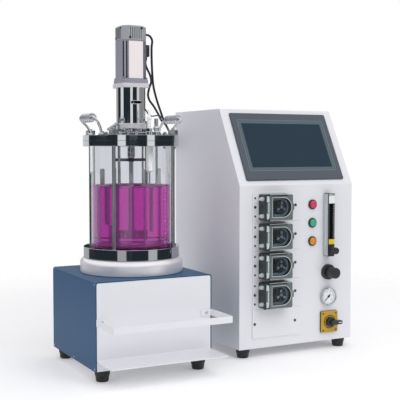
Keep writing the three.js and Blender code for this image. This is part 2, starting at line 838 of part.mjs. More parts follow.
function makeStirrer() {
  const bottom = floorZ + shaft.aboveFloor;
  const top = housingZ + housing.height - 4;
  const spindle = turned(
    [
      [0, bottom],
      [shaft.radius - 1, bottom],
      [shaft.radius, bottom + 1],
      [shaft.radius, top - coupling.height],
      [coupling.radius, top - coupling.height],
      [coupling.radius, top],
      [0, top],
    ],
    shaftSides,
  );
  place(vesselGroup, "stirrer_shaft", spindle, polishedSteel);

  const mid = floorZ + impeller.aboveFloor + impeller.hubHeight / 2;
  const disc = rod(impeller.disc, mid - 1, mid + 1, 16);
  const hub = rod(impeller.hub, mid - impeller.hubHeight / 2, mid + impeller.hubHeight / 2, 12);
  const blades = Array.from({ length: 6 }, (_, i) =>
    box(
      impeller.radius - impeller.blade,
      impeller.radius,
      -0.9,
      0.9,
      mid - impeller.bladeHeight / 2,
      mid + impeller.bladeHeight / 2,
    ).rotateZ((i * Math.PI) / 3),
  );
  const wheel = cut(join(disc, hub, ...blades), rod(shaft.radius + gap, mid - 40, mid + 40, shaftSides));
  place(vesselGroup, "impeller", wheel, polishedSteel);

  // Foam breaker: a two-bladed paddle just under the seal.
  const z = lidZ - gap - seal.flangeHeight - seal.rings * seal.ringPitch - gap - breaker.height;
  const arms = box(-breaker.reach, breaker.reach, -breaker.blade / 2, breaker.blade / 2, z + 1, z + breaker.height - 1);
  const paddle = cut(
    join(rod(breaker.hub, z, z + breaker.height, 16), arms),
    rod(shaft.radius + gap, z - 1, z + breaker.height + 1, shaftSides),
  );
  place(vesselGroup, "foam_breaker", paddle, polishedSteel);
}

// Mechanical seal under the lid: a flange and a stack of spring cups round the shaft.
function makeSeal() {
  const top = lidZ - gap;
  const bore = shaft.radius + runningGap;
  const cups = Array.from({ length: seal.rings }, (_, i) => {
    const z = top - seal.flangeHeight - i * seal.ringPitch;
    return [
      [seal.radius, z],
      [seal.radius, z - seal.ringPitch * 0.6],
      [seal.groove, z - seal.ringPitch * 0.65],
      [seal.groove, z - seal.ringPitch * 0.95],
    ];
  }).flat();
  const bottom = top - seal.flangeHeight - seal.rings * seal.ringPitch;
  const stack = [
    [bore, top],
    [seal.flange, top],
    [seal.flange, top - seal.flangeHeight],
    ...cups,
    [seal.groove, bottom],
    [bore, bottom],
    [bore, top],
  ];
  place(vesselGroup, "shaft_seal", turned(stack, shaftSides), polishedSteel);
}

// Sparger: the air pipe comes down through the lid and ends in a ring under the impeller.
function makeSparger() {
  const z = floorZ + sparger.lift;
  const r = sparger.riser;
  const top = lidTop + port.boss;
  const point = (x, height) => new THREE.Vector3(x, 0, height);
  const corners = [
    point(sparger.ring - 1, z),
    point(r, z),
    point(r, top + sparger.crest),
    point(sparger.outlet, top + 4),
  ];
  const pipe = bentPipe(corners, sparger.pipe, sparger.bend);
  const hoop = turned(arc(sparger.ring, z, sparger.pipe, 0, 360, 6), 16);
  const nut = rod(sparger.pipe + 4, top + gap, top + 6, 6).translate(r, 0, 0);
  place(vesselGroup, "sparger", join(pipe, hoop, nut), polishedSteel, [0, 0, 0], sparger.angle);
}

// Baffle cage: four upright plates held by two hoops, standing on the vessel's floor.
function makeBaffles() {
  const z = floorZ + gap;
  const plates = Array.from({ length: baffle.count }, (_, i) =>
    box(
      baffleOuter - baffle.width,
      baffleOuter,
      -baffle.thickness / 2,
      baffle.thickness / 2,
      z,
      z + baffle.height,
    ).rotateZ((i * 2 * Math.PI) / baffle.count),
  );
  const hoops = baffle.rings.map((at) => ring(baffleOuter - 2.5, baffleOuter, z + at, z + at + baffle.ring, 20));
  place(vesselGroup, "baffle_cage", join(hoops[0], hoops[1], ...plates), polishedSteel);
}

// Each probe hangs in its port by a nut that sits on the boss.
function makeProbes() {
  const seatZ = lidTop + port.boss + gap;
  const put = (name, probe, profile, material) =>
    place(vesselGroup, name, turned(profile, probeSides), material, [...polar(probe.angle, probe.at), 0]);

  const f = probes.foam;
  const sleeveTop = lidZ - gap;
  put(
    "foam_probe",
    f,
    [
      [0, sleeveTop - f.sleeveLength - f.tip],
      [1.8, sleeveTop - f.sleeveLength - f.tip],
      [1.8, sleeveTop - f.sleeveLength],
      [f.sleeve - 3, sleeveTop - f.sleeveLength],
      [f.sleeve, sleeveTop - f.sleeveLength + 4],
      [f.sleeve, sleeveTop],
      [f.stem, sleeveTop],
      [f.stem, seatZ],
      [f.nut, seatZ],
      [f.nut, seatZ + 7],
      [f.stem, seatZ + 8],
      [f.stem, lidTop + f.above - 22],
      [f.stem + 1.4, lidTop + f.above - 21],
      [f.stem + 1.4, lidTop + f.above - 16],
      [f.stem - 1, lidTop + f.above - 15],
      [f.stem - 1, lidTop + f.above],
      [0, lidTop + f.above],
    ],
    ptfe,
  );

  const p = probes.ph;
  put(
    "ph_probe",
    p,
    [
      [0, lidZ - p.below],
      [p.stem - 2, lidZ - p.below + 1.5],
      [p.stem, lidZ - p.below + 7],
      [p.stem, seatZ],
      [p.nut, seatZ],
      [p.nut, seatZ + 9],
      [p.stem + 1, seatZ + 10],
      [p.stem + 1, lidTop + p.above - 2],
      [p.stem - 1, lidTop + p.above],
      [0, lidTop + p.above],
    ],
    blackPlastic,
  );

  const t = probes.temperature;
  put(
    "temperature_probe",
    t,
    [
      [0, lidZ - t.below],
      [t.stem, lidZ - t.below + 2],
      [t.stem, seatZ],
      [t.nut, seatZ],
      [t.nut, seatZ + 8],
      [t.stem + 1.5, seatZ + 9],
      [t.stem + 1.5, lidTop + t.above - 8],
      [t.stem, lidTop + t.above],
      [0, lidTop + t.above],
    ],
    polishedSteel,
  );

  const s = probes.sample;
  put(
    "sample_tube",
    s,
    [
      [0, lidZ - s.below],
      [s.stem, lidZ - s.below],
      [s.stem, seatZ],
      [s.nut - 2, seatZ],
      ...arc(0, seatZ + 6.5, s.nut, -50, 50, 4),
      [s.stem + 2, seatZ + 13],
      [s.stem + 2, lidTop + s.above],
      [0, lidTop + s.above],
    ],
    polishedSteel,
  );
}

// ---------------------------------------------------------------- cabinet

const kneeLine = (inset) => {
  // The cabinet's side outline, drawn in Y and Z and drawn in by an inset on the front, slope and top.
  const { bottom, rise, lean, depth } = cabinet;
  const slope = Math.hypot(lean, rise);
  const kneeShift = (inset * (slope - rise)) / lean;
  const topShift = (inset * (slope - lean)) / rise;
  return [
    [inset, bottom],
    [inset, knee - kneeShift],
    [lean + topShift, cabinetTop - inset],
    [depth, cabinetTop - inset],
    [depth, bottom],
  ];
};

const leanAngle = Math.atan2(cabinet.lean, cabinet.rise);

// Carries something drawn on an upright panel at the knee (facing -Y) on to the sloping face.
const ontoSlope = (geometry, z) =>
  geometry
    .translate(0, 0, z)
    .rotateX(-leanAngle)
    .translate(0, 0, knee);

function makeCabinet() {
  const w = cabinet.width;
  const outer = runAlongX(outline(kneeLine(0)), 0, w);
  const innerPoints = kneeLine(sheet);
  innerPoints[0][1] = cabinet.bottom - 1;
  innerPoints[4][1] = cabinet.bottom - 1;
  innerPoints[3][0] = cabinet.depth + 1;
  innerPoints[4][0] = cabinet.depth + 1;
  const inner = runAlongX(outline(innerPoints), sheet, w - sheet);
  const m = modules;
  const pumpHole = box(
    m.left + 8,
    m.left + m.width - 8,
    -1,
    sheet + 1,
    m.bottom + 8,
    m.bottom + m.pitch * m.count - 8,
  );
  const d = display;
  const displayHole = ontoSlope(
    box(d.left + d.boxMargin - 1, d.left + d.width - d.boxMargin + 1, -3, sheet + 3, d.boxMargin - 1, d.height - d.boxMargin + 1),
    d.lift,
  );
  place(cabinetGroup, "cabinet_shell", cut(solidOf(outer), inner, pumpHole, displayHole), whiteEnamel);

  // Floor and rear wall in one folded sheet, with feet, vents, mains inlet and lead glands.
  const side = sheet + gap;
  const back = foldedSheet([
    [sheet + gap, cabinet.bottom],
    [cabinet.depth, cabinet.bottom],
    [cabinet.depth, cabinetTop - sheet - gap],
  ]);
  const feet = [foot.inset, w - foot.inset].flatMap((x) =>
    [foot.inset, cabinet.depth - foot.inset].map((y) => footUnder(x, y, cabinet.bottom)),
  );
  const rear = cabinet.depth;
  const bosses = glands.xs.map((x, i) => {
    const r = glands.radii[i];
    return turned(
      [
        [0, -sheet / 2],
        [r, -sheet / 2],
        [r, 6],
        [r - 1.5, 7],
        [r - 1.5, 12],
        [r - 3, glands.length],
        [0, glands.length],
      ],
      8,
    )
      .rotateX(-Math.PI / 2)
      .translate(x, rear, glands.z);
  });
  const n = inlet;
  const socketPlate = box(n.x - n.width / 2, n.x + n.width / 2, rear - 1, rear + n.depth, n.z - n.height / 2, n.z + n.height / 2);
  const socket = box(n.x - n.socket / 2, n.x + n.socket / 2, rear - 0.5, rear + n.depth + 1, n.z - 8, n.z + 8);
  const slots = Array.from({ length: vents.count }, (_, i) => {
    const z = vents.z + (i - (vents.count - 1) / 2) * vents.pitch;
    return box(
      vents.x - vents.length / 2,
      vents.x + vents.length / 2,
      rear - sheet - 1,
      rear + 1,
      z - vents.height / 2,
      z + vents.height / 2,
    );
  });
  const made = cut(join(runAlongX(back, side, w - side), ...feet, ...bosses, socketPlate), socket, ...slots);
  place(cabinetGroup, "cabinet_back", made, greyEnamel);
}

// Touch display: a bezel on the sloping face and its box through the cut-out behind it.
function makeDisplay() {
  const d = display;
  const mid = [d.left + d.width / 2, 0, d.height / 2];
  const bezel = standing(roundedRectangle(d.width, d.height, 3, 2), gap, gap + d.bezel).translate(...mid);
  const case_ = box(
    d.left + d.boxMargin,
    d.left + d.width - d.boxMargin,
    -gap - 1,
    d.boxDepth,
    d.boxMargin,
    d.height - d.boxMargin,
  );
  const glassHole = standing(roundedRectangle(screen.width, screen.height, 1, 1), gap + d.bezel - d.recess, 20);
  const made = cut(join(bezel, case_), glassHole.translate(mid[0], 0, mid[2] + 2));
  place(cabinetGroup, "display", geometryOf(made), bezelGrey, [0, 0, 0]).geometry = ontoSlope(geometryOf(made), d.lift);
}

// ---------------------------------------------------------------- pumps

function makePumps() {
  const m = modules;
  const height = m.pitch * m.count;
  const front = gap + m.thickness;
  const sheetPlate = box(m.left, m.left + m.width, -front, -gap, m.bottom, m.bottom + height);
  const seams = Array.from({ length: m.count - 1 }, (_, i) => {
    const z = m.bottom + m.pitch * (i + 1);
    return box(m.left - 1, m.left + m.width + 1, -front - 1, -front + m.thickness / 2, z - m.seam / 2, z + m.seam / 2);
  });
  place(cabinetGroup, "pump_panel", cut(solidOf(sheetPlate), ...seams), whiteEnamel);

  const out = front + gap;
  const parts = {
    pump_body: [pumpBody(out), blackPlastic],
    pump_tube: [pumpTubeSet(out), whitePlastic],
    pump_rotor: [pumpRotor(out), greyEnamel],
    pump_cover: [pumpCover(out + pump.depth + gap), clearPlastic],
  };
  for (let i = 0; i < m.count - 1; i++) {
    const x = m.left + pump.left + pump.width / 2;
    const z = m.bottom + height - m.pitch * (i + 0.5);
    for (const [name, [solid, material]] of Object.entries(parts)) {
      const turns = name === "pump_rotor";
      place(cabinetGroup, `${name}_${i + 1}`, solid, material, [turns ? x + trackX : x, 0, z]);
    }
  }
}

// The lanes that lead the tube in and out of the track, drawn wide enough for a given reach round the tube.
const laneHeight = track - pumpTube.radius - gap;
const lanes = (out0, out1, x1, reach) =>
  [-1, 1].map((s) =>
    box(-pump.width / 2 - 1, x1, -out1, -out0, s * laneHeight - reach, s * laneHeight + reach),
  );

function pumpBody(out) {
  const p = pump;
  const face = out + p.depth;
  const block = standing(roundedRectangle(p.width, pumpHeight, p.corner, 2), out, face);
  const [low, high] = [-p.latchHeight / 2, p.latchHeight / 2];
  const latch = box(p.width / 2 - 1, p.width / 2 + p.latchReach, -face + 1, -out - 2, low, high);
  return cut(
    join(block, latch),
    rodOut(track, out + p.floor, face + 1, 24).translate(trackX, 0, 0),
    rodOut(rotor.spindle + runningGap, out + 1.5, face, 8).translate(trackX, 0, 0),
    ...lanes(out + p.floor, face + 1, trackX, pumpTube.radius + gap),
    ...lanes(out + p.floor, face + 1, -p.width / 2 + pumpTube.grip, pumpTube.fitting + gap),
  );
}

// Cover: a clear shallow cap over the track, open to the left where the tube comes out.
function pumpCover(out) {
  const p = pump;
  const cap = standing(roundedRectangle(p.width, pumpHeight, p.corner, 2), out, out + p.cover);
  const [w, h] = [p.width - 2 * p.wall, pumpHeight - 2 * p.wall];
  const hollow = standing(roundedRectangle(w, h, p.corner - 1, 2), out - 1, out + p.cover - p.wall);
  return cut(solidOf(cap), hollow, ...lanes(out - 1, out + 3, -p.width / 2 + p.wall + 1, pumpTube.fitting + gap));
}

// Tube: a loop round the track, with a flanged fitting on each end that hooks over the head's left edge.
function pumpTubeSet(out) {
  const t = pumpTube;
  const depth = -(out + t.depth);
  const end = -pump.width / 2 - t.ahead;
  const point = (x, z) => new THREE.Vector3(x, depth, z);
  const loop = arc(trackX, 0, laneHeight, -90, 90, 10).map(([x, z]) => point(x, z));
  const route = new Route([point(end, -laneHeight), ...loop, point(end, laneHeight)]);
  const left = -pump.width / 2;
  const fittings = [-1, 1].flatMap((s) => [
    rod(t.fitting, left - t.flangeWidth, left + t.grip - gap, 6).rotateY(Math.PI / 2),
    rod(t.flange, left - t.flangeWidth - gap, left - gap, 6).rotateY(Math.PI / 2),
  ].map((g) => g.translate(0, depth, s * laneHeight)));
  return join(wire(route, t.radius, route.points.length - 1, 6), ...fittings);
}

// Rotor: two discs with the rollers between them, on a spindle that runs in the body.
function pumpRotor(out) {
  const r = rotor;
  const back = out + pump.floor + runningGap;
  const face = back + r.depth;
  const rollers = Array.from({ length: r.rollers }, (_, i) => {
    const [x, z] = polar(90 + (360 / r.rollers) * i, rotorReach - r.roller);
    return rodOut(r.roller, back + 0.5, face - 0.5, 6).translate(x, 0, z);
  });
  return join(
    rodOut(rotorReach, back, back + r.discThickness, 12),
    rodOut(rotorReach, face - r.discThickness, face, 12),
    rodOut(r.hub, back, face, 6),
    rodOut(r.spindle, out + 2, back + 1, 8),
    ...rollers,
  );
}

// ---------------------------------------------------------------- front panel fittings

function makeLamps() {
  const l = lamps;
  const o = gap;
  const profile = [
    [0, o],
    [l.bezel, o],
    [l.bezel, o + l.bezelHeight - 1],
    [l.bezel - 1, o + l.bezelHeight],
    [l.lens, o + l.bezelHeight],
    [l.lens, o + l.lensHeight - 2],
    [l.lens - 3, o + l.lensHeight],
    [0, o + l.lensHeight],
  ];
  const colours = { red: lensRed, green: lensGreen, amber: lensAmber };
  Object.entries(colours).forEach(([colour, material], i) =>
    place(cabinetGroup, "lamp_" + colour, turnedOut(profile, 14), material, [l.x, 0, l.top - i * l.pitch]),
  );
}

function makeFlowmeter() {
  const f = flowmeter;
  const out = gap + f.depth;
  const axis = gap + f.depth * 0.55;
  const block = standing(roundedRectangle(f.width, f.height, 2, 1), gap, out).translate(0, 0, f.height / 2);
  const bore = rod(f.bore, f.end, f.height - f.end, 16).translate(0, -axis, 0);
  const rearPorts = [f.end + 3, f.height - f.end - 3].map((z) => rodOut(f.port, 0, axis, 10).translate(0, 0, z));
  const stemHole = rodOut(flowKnob.stem + runningGap, out - 6, out + 1, 12).translate(0, 0, flowKnob.level);
  const origin = [f.x, 0, f.bottom];
  place(cabinetGroup, "flowmeter_body", cut(solidOf(block), bore, ...rearPorts, stemHole), clearPlastic, origin);

  const bobRadius = f.bore - float.clear;
  const bob = turned(
    [
      [0, 0],
      [1.2, 0],
      [bobRadius, float.height - 3],
      [bobRadius, float.height],
      [0, float.height],
    ],
    12,
  ).translate(0, -axis, f.end + gap);
  place(cabinetGroup, "flowmeter_float", bob, polishedSteel, origin);

  const k = flowKnob;
  const knob = turnedOut(
    [
      [0, out - 5],
      [k.stem, out - 5],
      [k.stem, out + k.neck],
      [k.radius - 1, out + k.neck],
      [k.radius, out + k.neck + 1],
      [k.radius, out + k.neck + k.length - 1.5],
      [k.radius - 1.5, out + k.neck + k.length],
      [0, out + k.neck + k.length],
    ],
    16,
  );
  place(cabinetGroup, "flowmeter_knob", knob, blackPlastic, [f.x, 0, f.bottom + k.level]);
}

function makeRegulator() {
  const r = regulator;
  const out = gap + r.flangeHeight;
  const neckOut = out + r.neckHeight;
  const body = cut(
    solidOf(
      turnedOut(
        [
          [0, gap],
          [r.flange, gap],
          [r.flange, out - 2],
          [r.flange - 2, out],
          [r.neck, out],
          [r.neck, neckOut],
          [0, neckOut],
        ],
        16,
      ),
    ),
    rodOut(4 + runningGap, neckOut - 8, neckOut + 1, 8),
  );
  place(cabinetGroup, "regulator_body", body, blackPlastic, [r.x, 0, r.z]);

  const k = regulatorKnob;
  const k0 = neckOut + gap;
  const grip = turnedOut(
    [
      [0, k0],
      [k.radius, k0],
      [k.radius, k0 + k.length - 2],
      [k.radius - 2, k0 + k.length],
      [0, k0 + k.length],
    ],
    20,
  );
  const flutes = Array.from({ length: k.flutes }, (_, i) => {
    const [x, z] = polar((360 / k.flutes) * i, k.radius + k.flute * 0.3);
    return rodOut(k.flute, k0 - 1, k0 + k.length - 3, 4).translate(x, 0, z);
  });
  const knob = cut(join(grip, rodOut(4, neckOut - 7, k0 + 1, 8)), ...flutes);
  place(cabinetGroup, "regulator_knob", knob, blackPlastic, [r.x, 0, r.z]);
}

function makeGauge() {
  const g = gauge;
  const out = gap + g.height;
  const dial = out - g.recess;
  const caseBody = cut(
    solidOf(
      turnedOut(
        [
          [0, gap],
          [g.radius - 2, gap],
          [g.radius, gap + 2],
          [g.radius, out - 1],
          [g.radius - 1, out],
          [g.radius - g.rim, out],
          [g.radius - g.rim - 0.6, dial],
          [0, dial],
        ],
        20,
      ),
    ),
    rodOut(needle.spindle + 0.4, dial - 3, dial + 1, 8),
  );
  place(cabinetGroup, "gauge_case", caseBody, satinAluminium, [g.x, 0, g.z]);

  const n = needle;
  const n0 = dial + 1.2;
  const pointer = standing(
    outline([
      [-n.tail, -1.3],
      [0, -1.1],
      [n.length, -0.3],
      [n.length, 0.3],
      [0, 1.1],
      [-n.tail, 1.3],
    ]),
    n0,
    n0 + n.thickness,
  ).rotateY(radians(135));
  const made = join(pointer, rodOut(n.hub, n0 - 0.4, n0 + 1.6, 10), rodOut(n.spindle, dial - 2.5, n0, 8));
  place(cabinetGroup, "gauge_needle", made, blackPlastic, [g.x, 0, g.z]);
}

function makeSwitch() {
  const s = mainSwitch;
  const out = gap + s.base;
  const plate = cut(
    solidOf(standing(roundedRectangle(s.width, s.height, 3, 2), gap, out)),
    rodOut(s.hole, out - 4, out + 1, 16),
  );
  place(cabinetGroup, "switch_plate", plate, yellowPlastic, [s.x, 0, s.z]);

  const h = switchHandle;
  const h0 = out + gap;
  const h1 = h0 + h.hubHeight;
  const lever = outline([
    ...arc(0, 0, h.lever / 2 + 1.5, 90, 270, 5),
    [h.leverLength - h.lever / 2, -h.lever / 2],
    ...arc(h.leverLength - h.lever / 2, 0, h.lever / 2, -60, 60, 4),
    [h.leverLength - h.lever / 2, h.lever / 2],
  ]);
  const made = join(
    turnedOut(
      [
        [0, h0],
        [h.hub, h0],
        [h.hub - 1.5, h1],
        [0, h1],
      ],
      16,
    ),
    standing(lever, h1 - 1, h1 + h.leverHeight),
    rodOut(s.hole - runningGap, out - 3.5, h0 + 1, 14),
  );
  place(cabinetGroup, "switch_handle", made, blackPlastic, [s.x, 0, s.z]);
}

// ---------------------------------------------------------------- leads

// Each lead runs along its chosen points and then straight into its gland.
function makeLeads() {
  for (const [name, lead] of Object.entries(leads)) {
    const end = [cabinetX + glands.xs[lead.gland], cabinetY + cabinet.depth + glands.length + gap, glands.z];
    const route = smooth([...lead.points, end]);
    const steps = Math.min(80, Math.ceil(route.getLength() / (6 * lead.radius)));
    place(reactor, name, wire(route, lead.radius, steps), blackRubber);
  }
}

makeStand();
makeHeaterAndSeat();
makeGlass();
makeNeckAndLid();
makeHandle("lid_handle_right", 1);
makeHandle("lid_handle_left", -1);
makeHousing();
makeMotor();
makeStirrer();
makeSeal();
makeSparger();
makeBaffles();
makeProbes();
makeCabinet();
makeDisplay();
makePumps();
makeLamps();
makeFlowmeter();
makeRegulator();
makeGauge();
makeSwitch();
makeLeads();

export default reactor;
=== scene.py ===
"""Bench bioreactor: the finished look of a stirred glass vessel and its control cabinet.

Laid out as an add-on, one operator for each piece or group of like pieces. Lengths are in millimetres until a
mesh is made, in the part's own frame: X to the right along the front faces, Y to the back, Z up.
"""

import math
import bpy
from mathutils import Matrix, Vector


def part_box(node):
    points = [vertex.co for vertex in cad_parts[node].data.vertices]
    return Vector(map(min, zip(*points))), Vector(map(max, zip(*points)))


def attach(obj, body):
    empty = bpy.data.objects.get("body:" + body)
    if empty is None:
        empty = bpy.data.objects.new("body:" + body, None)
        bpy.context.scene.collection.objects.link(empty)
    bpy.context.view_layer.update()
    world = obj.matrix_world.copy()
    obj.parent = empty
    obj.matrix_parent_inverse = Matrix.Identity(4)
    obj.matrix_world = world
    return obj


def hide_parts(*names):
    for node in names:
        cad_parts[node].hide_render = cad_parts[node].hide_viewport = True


bl_info = {
    "name": "Bench bioreactor",
    "version": (1, 0, 0),
    "blender": (4, 5, 0),
    "location": "3D View > Sidebar > Bioreactor",
    "description": "Builds the detailed surfaces of a bench bioreactor round its construction model",
    "category": "Add Mesh",
}

import bmesh
import bpy
from bpy.props import FloatProperty, FloatVectorProperty, IntProperty, PointerProperty
from mathutils import Matrix, Vector

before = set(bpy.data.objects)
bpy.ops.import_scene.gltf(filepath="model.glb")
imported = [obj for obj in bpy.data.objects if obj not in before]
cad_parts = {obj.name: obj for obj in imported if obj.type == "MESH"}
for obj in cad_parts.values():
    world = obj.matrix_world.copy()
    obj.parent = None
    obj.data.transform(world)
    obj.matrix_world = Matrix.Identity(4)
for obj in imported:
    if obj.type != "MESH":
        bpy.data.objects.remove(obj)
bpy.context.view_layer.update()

MM = 0.001

# ---------------- layout


def node_box(name):
    """A construction node's lowest and highest corner, in millimetres."""
    low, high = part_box(name)
    return low / MM, high / MM


def middle(name):
    low, high = node_box(name)
    return (low + high) / 2


AXIS = middle("glass_vessel").to_2d()  # the vessel's upright axis
HEATER, SEAT, GLASS = node_box("heater_block"), node_box("vessel_seat"), node_box("glass_vessel")
NECK = node_box("neck_ring")
GLASS_RADIUS = (GLASS[1].x - GLASS[0].x) / 2
RIM_RADIUS = (NECK[1].x - NECK[0].x) / 2
HEATER_RADIUS = (HEATER[1].x - HEATER[0].x) / 2
WALL, BASE, FLOOR_CORNER = 5.0, 10.0, 9.0  # the glass
FLOOR = GLASS[0].z + BASE
GAP = 0.3  # the joint left between parts that meet
LID_LOW = GLASS[1].z + GAP
LID = LID_LOW + 12  # the lid's upper face
SEAT_TOP = SEAT[0].z + 23
TIE_CIRCLE = GLASS_RADIUS + 7
HOUSING = LID + GAP
MOTOR = node_box("motor_body")[0].z
CAB = node_box("cabinet_shell")
LEAN, RISE = 96.0, 178.0  # how far the cabinet's display face leans back, and how high it rises
KNEE = CAB[1].z - RISE
FRONT = CAB[0].y
MOTOR_CORNER = 12.5  # cut off each corner of the motor's body


def polar(angle, distance, z=0.0):
    """A point round the vessel's axis."""
    a = math.radians(angle)
    return Vector((AXIS.x + distance * math.cos(a), AXIS.y + distance * math.sin(a), z))


# ---------------- materials


def srgb(code):
    """An sRGB hex value as a linear colour."""
    parts = [int(code[i : i + 2], 16) / 255 for i in (1, 3, 5)]
    return tuple(c / 12.92 if c <= 0.04045 else ((c + 0.055) / 1.055) ** 2.4 for c in parts) + (1.0,)


def add_node(tree, kind, links=None, **settings):
    """Adds a node. links gives each input, by name or index, a value or another node's output."""
    node = tree.nodes.new(kind)
    for key, value in settings.items():
        setattr(node, key, value)
    for key, value in (links or {}).items():
        if isinstance(value, bpy.types.NodeSocket):
            tree.links.new(value, node.inputs[key])
        else:
            node.inputs[key].default_value = value
    return node


def shade(colour, factor):
    """The colour lightened or darkened, no part of it past 1."""
    return tuple(min(1.0, c * factor) for c in colour[:3]) + (1.0,)


def new_material(name):
    material = bpy.data.materials.new(name)
    material.use_nodes = True
    tree = material.node_tree
    tree.nodes.clear()
    return material, tree, add_node(tree, "ShaderNodeOutputMaterial")


def finish(
    name, colour, rough, grain, relief=0.0, mottle=0.03, spread=0.04, stretch=(1, 1, 1), patch=60.0,
    detail=3.0, **sockets
):
    """A finish with grain and relief in millimetres: patches of colour, uneven gloss and a fine relief.

    stretch draws the grain out along an axis, as turning, brushing and moulding marks are.
    """
    material, tree, out = new_material(name)
    place = add_node(tree, "ShaderNodeTexCoord").outputs["Object"]
    drawn = add_node(tree, "ShaderNodeMapping", {"Vector": place, "Scale": stretch}).outputs[0]
    fine = add_node(tree, "ShaderNodeTexNoise", {"Vector": drawn, "Scale": 1000 / grain, "Detail": detail})
    broad = add_node(tree, "ShaderNodeTexNoise", {"Vector": place, "Scale": 1000 / patch, "Detail": 2.0})
    tint = add_node(
        tree,
        "ShaderNodeMix",
        {0: broad.outputs[0], 6: shade(colour, 1 - mottle), 7: shade(colour, 1 + mottle)},
        data_type="RGBA",
    )
    gloss = add_node(
        tree,
        "ShaderNodeMapRange",
        {0: fine.outputs[0], 1: 0.3, 2: 0.7, 3: max(0.0, rough - spread), 4: min(1.0, rough + spread)},
    )
    links = {"Base Color": tint.outputs[2], "Roughness": gloss.outputs[0], **sockets}
    if relief:
        bump = add_node(tree, "ShaderNodeBump", {"Height": fine.outputs[0], "Distance": relief * MM,
            "Strength": 1.0})
        links["Normal"] = bump.outputs[0]
    shader = add_node(tree, "ShaderNodeBsdfPrincipled", links)
    tree.links.new(shader.outputs[0], out.inputs["Surface"])
    return material


def clear(name, colour, index, rough=0.0, ripple=0.0, grain=30.0):
    """A clear material that lets lamps through to what stands behind it."""
    material, tree, out = new_material(name)
    links = {"Base Color": colour, "Roughness": rough, "IOR": index, "Transmission Weight": 1.0}
    if ripple:
        place = add_node(tree, "ShaderNodeTexCoord").outputs["Object"]
        wave = add_node(tree, "ShaderNodeTexNoise", {"Vector": place, "Scale": 1000 / grain, "Detail": 1.0})
        bump = add_node(tree, "ShaderNodeBump", {"Height": wave.outputs[0], "Distance": ripple * MM})
        links["Normal"] = bump.outputs[0]
    glass = add_node(tree, "ShaderNodeBsdfPrincipled", links)
    lit = add_node(tree, "ShaderNodeBsdfTransparent", {"Color": colour})
    ray = add_node(tree, "ShaderNodeLightPath").outputs["Is Shadow Ray"]
    mix = add_node(tree, "ShaderNodeMixShader", {0: ray, 1: glass.outputs[0], 2: lit.outputs[0]})
    tree.links.new(mix.outputs[0], out.inputs["Surface"])
    return material


MATERIALS = {}


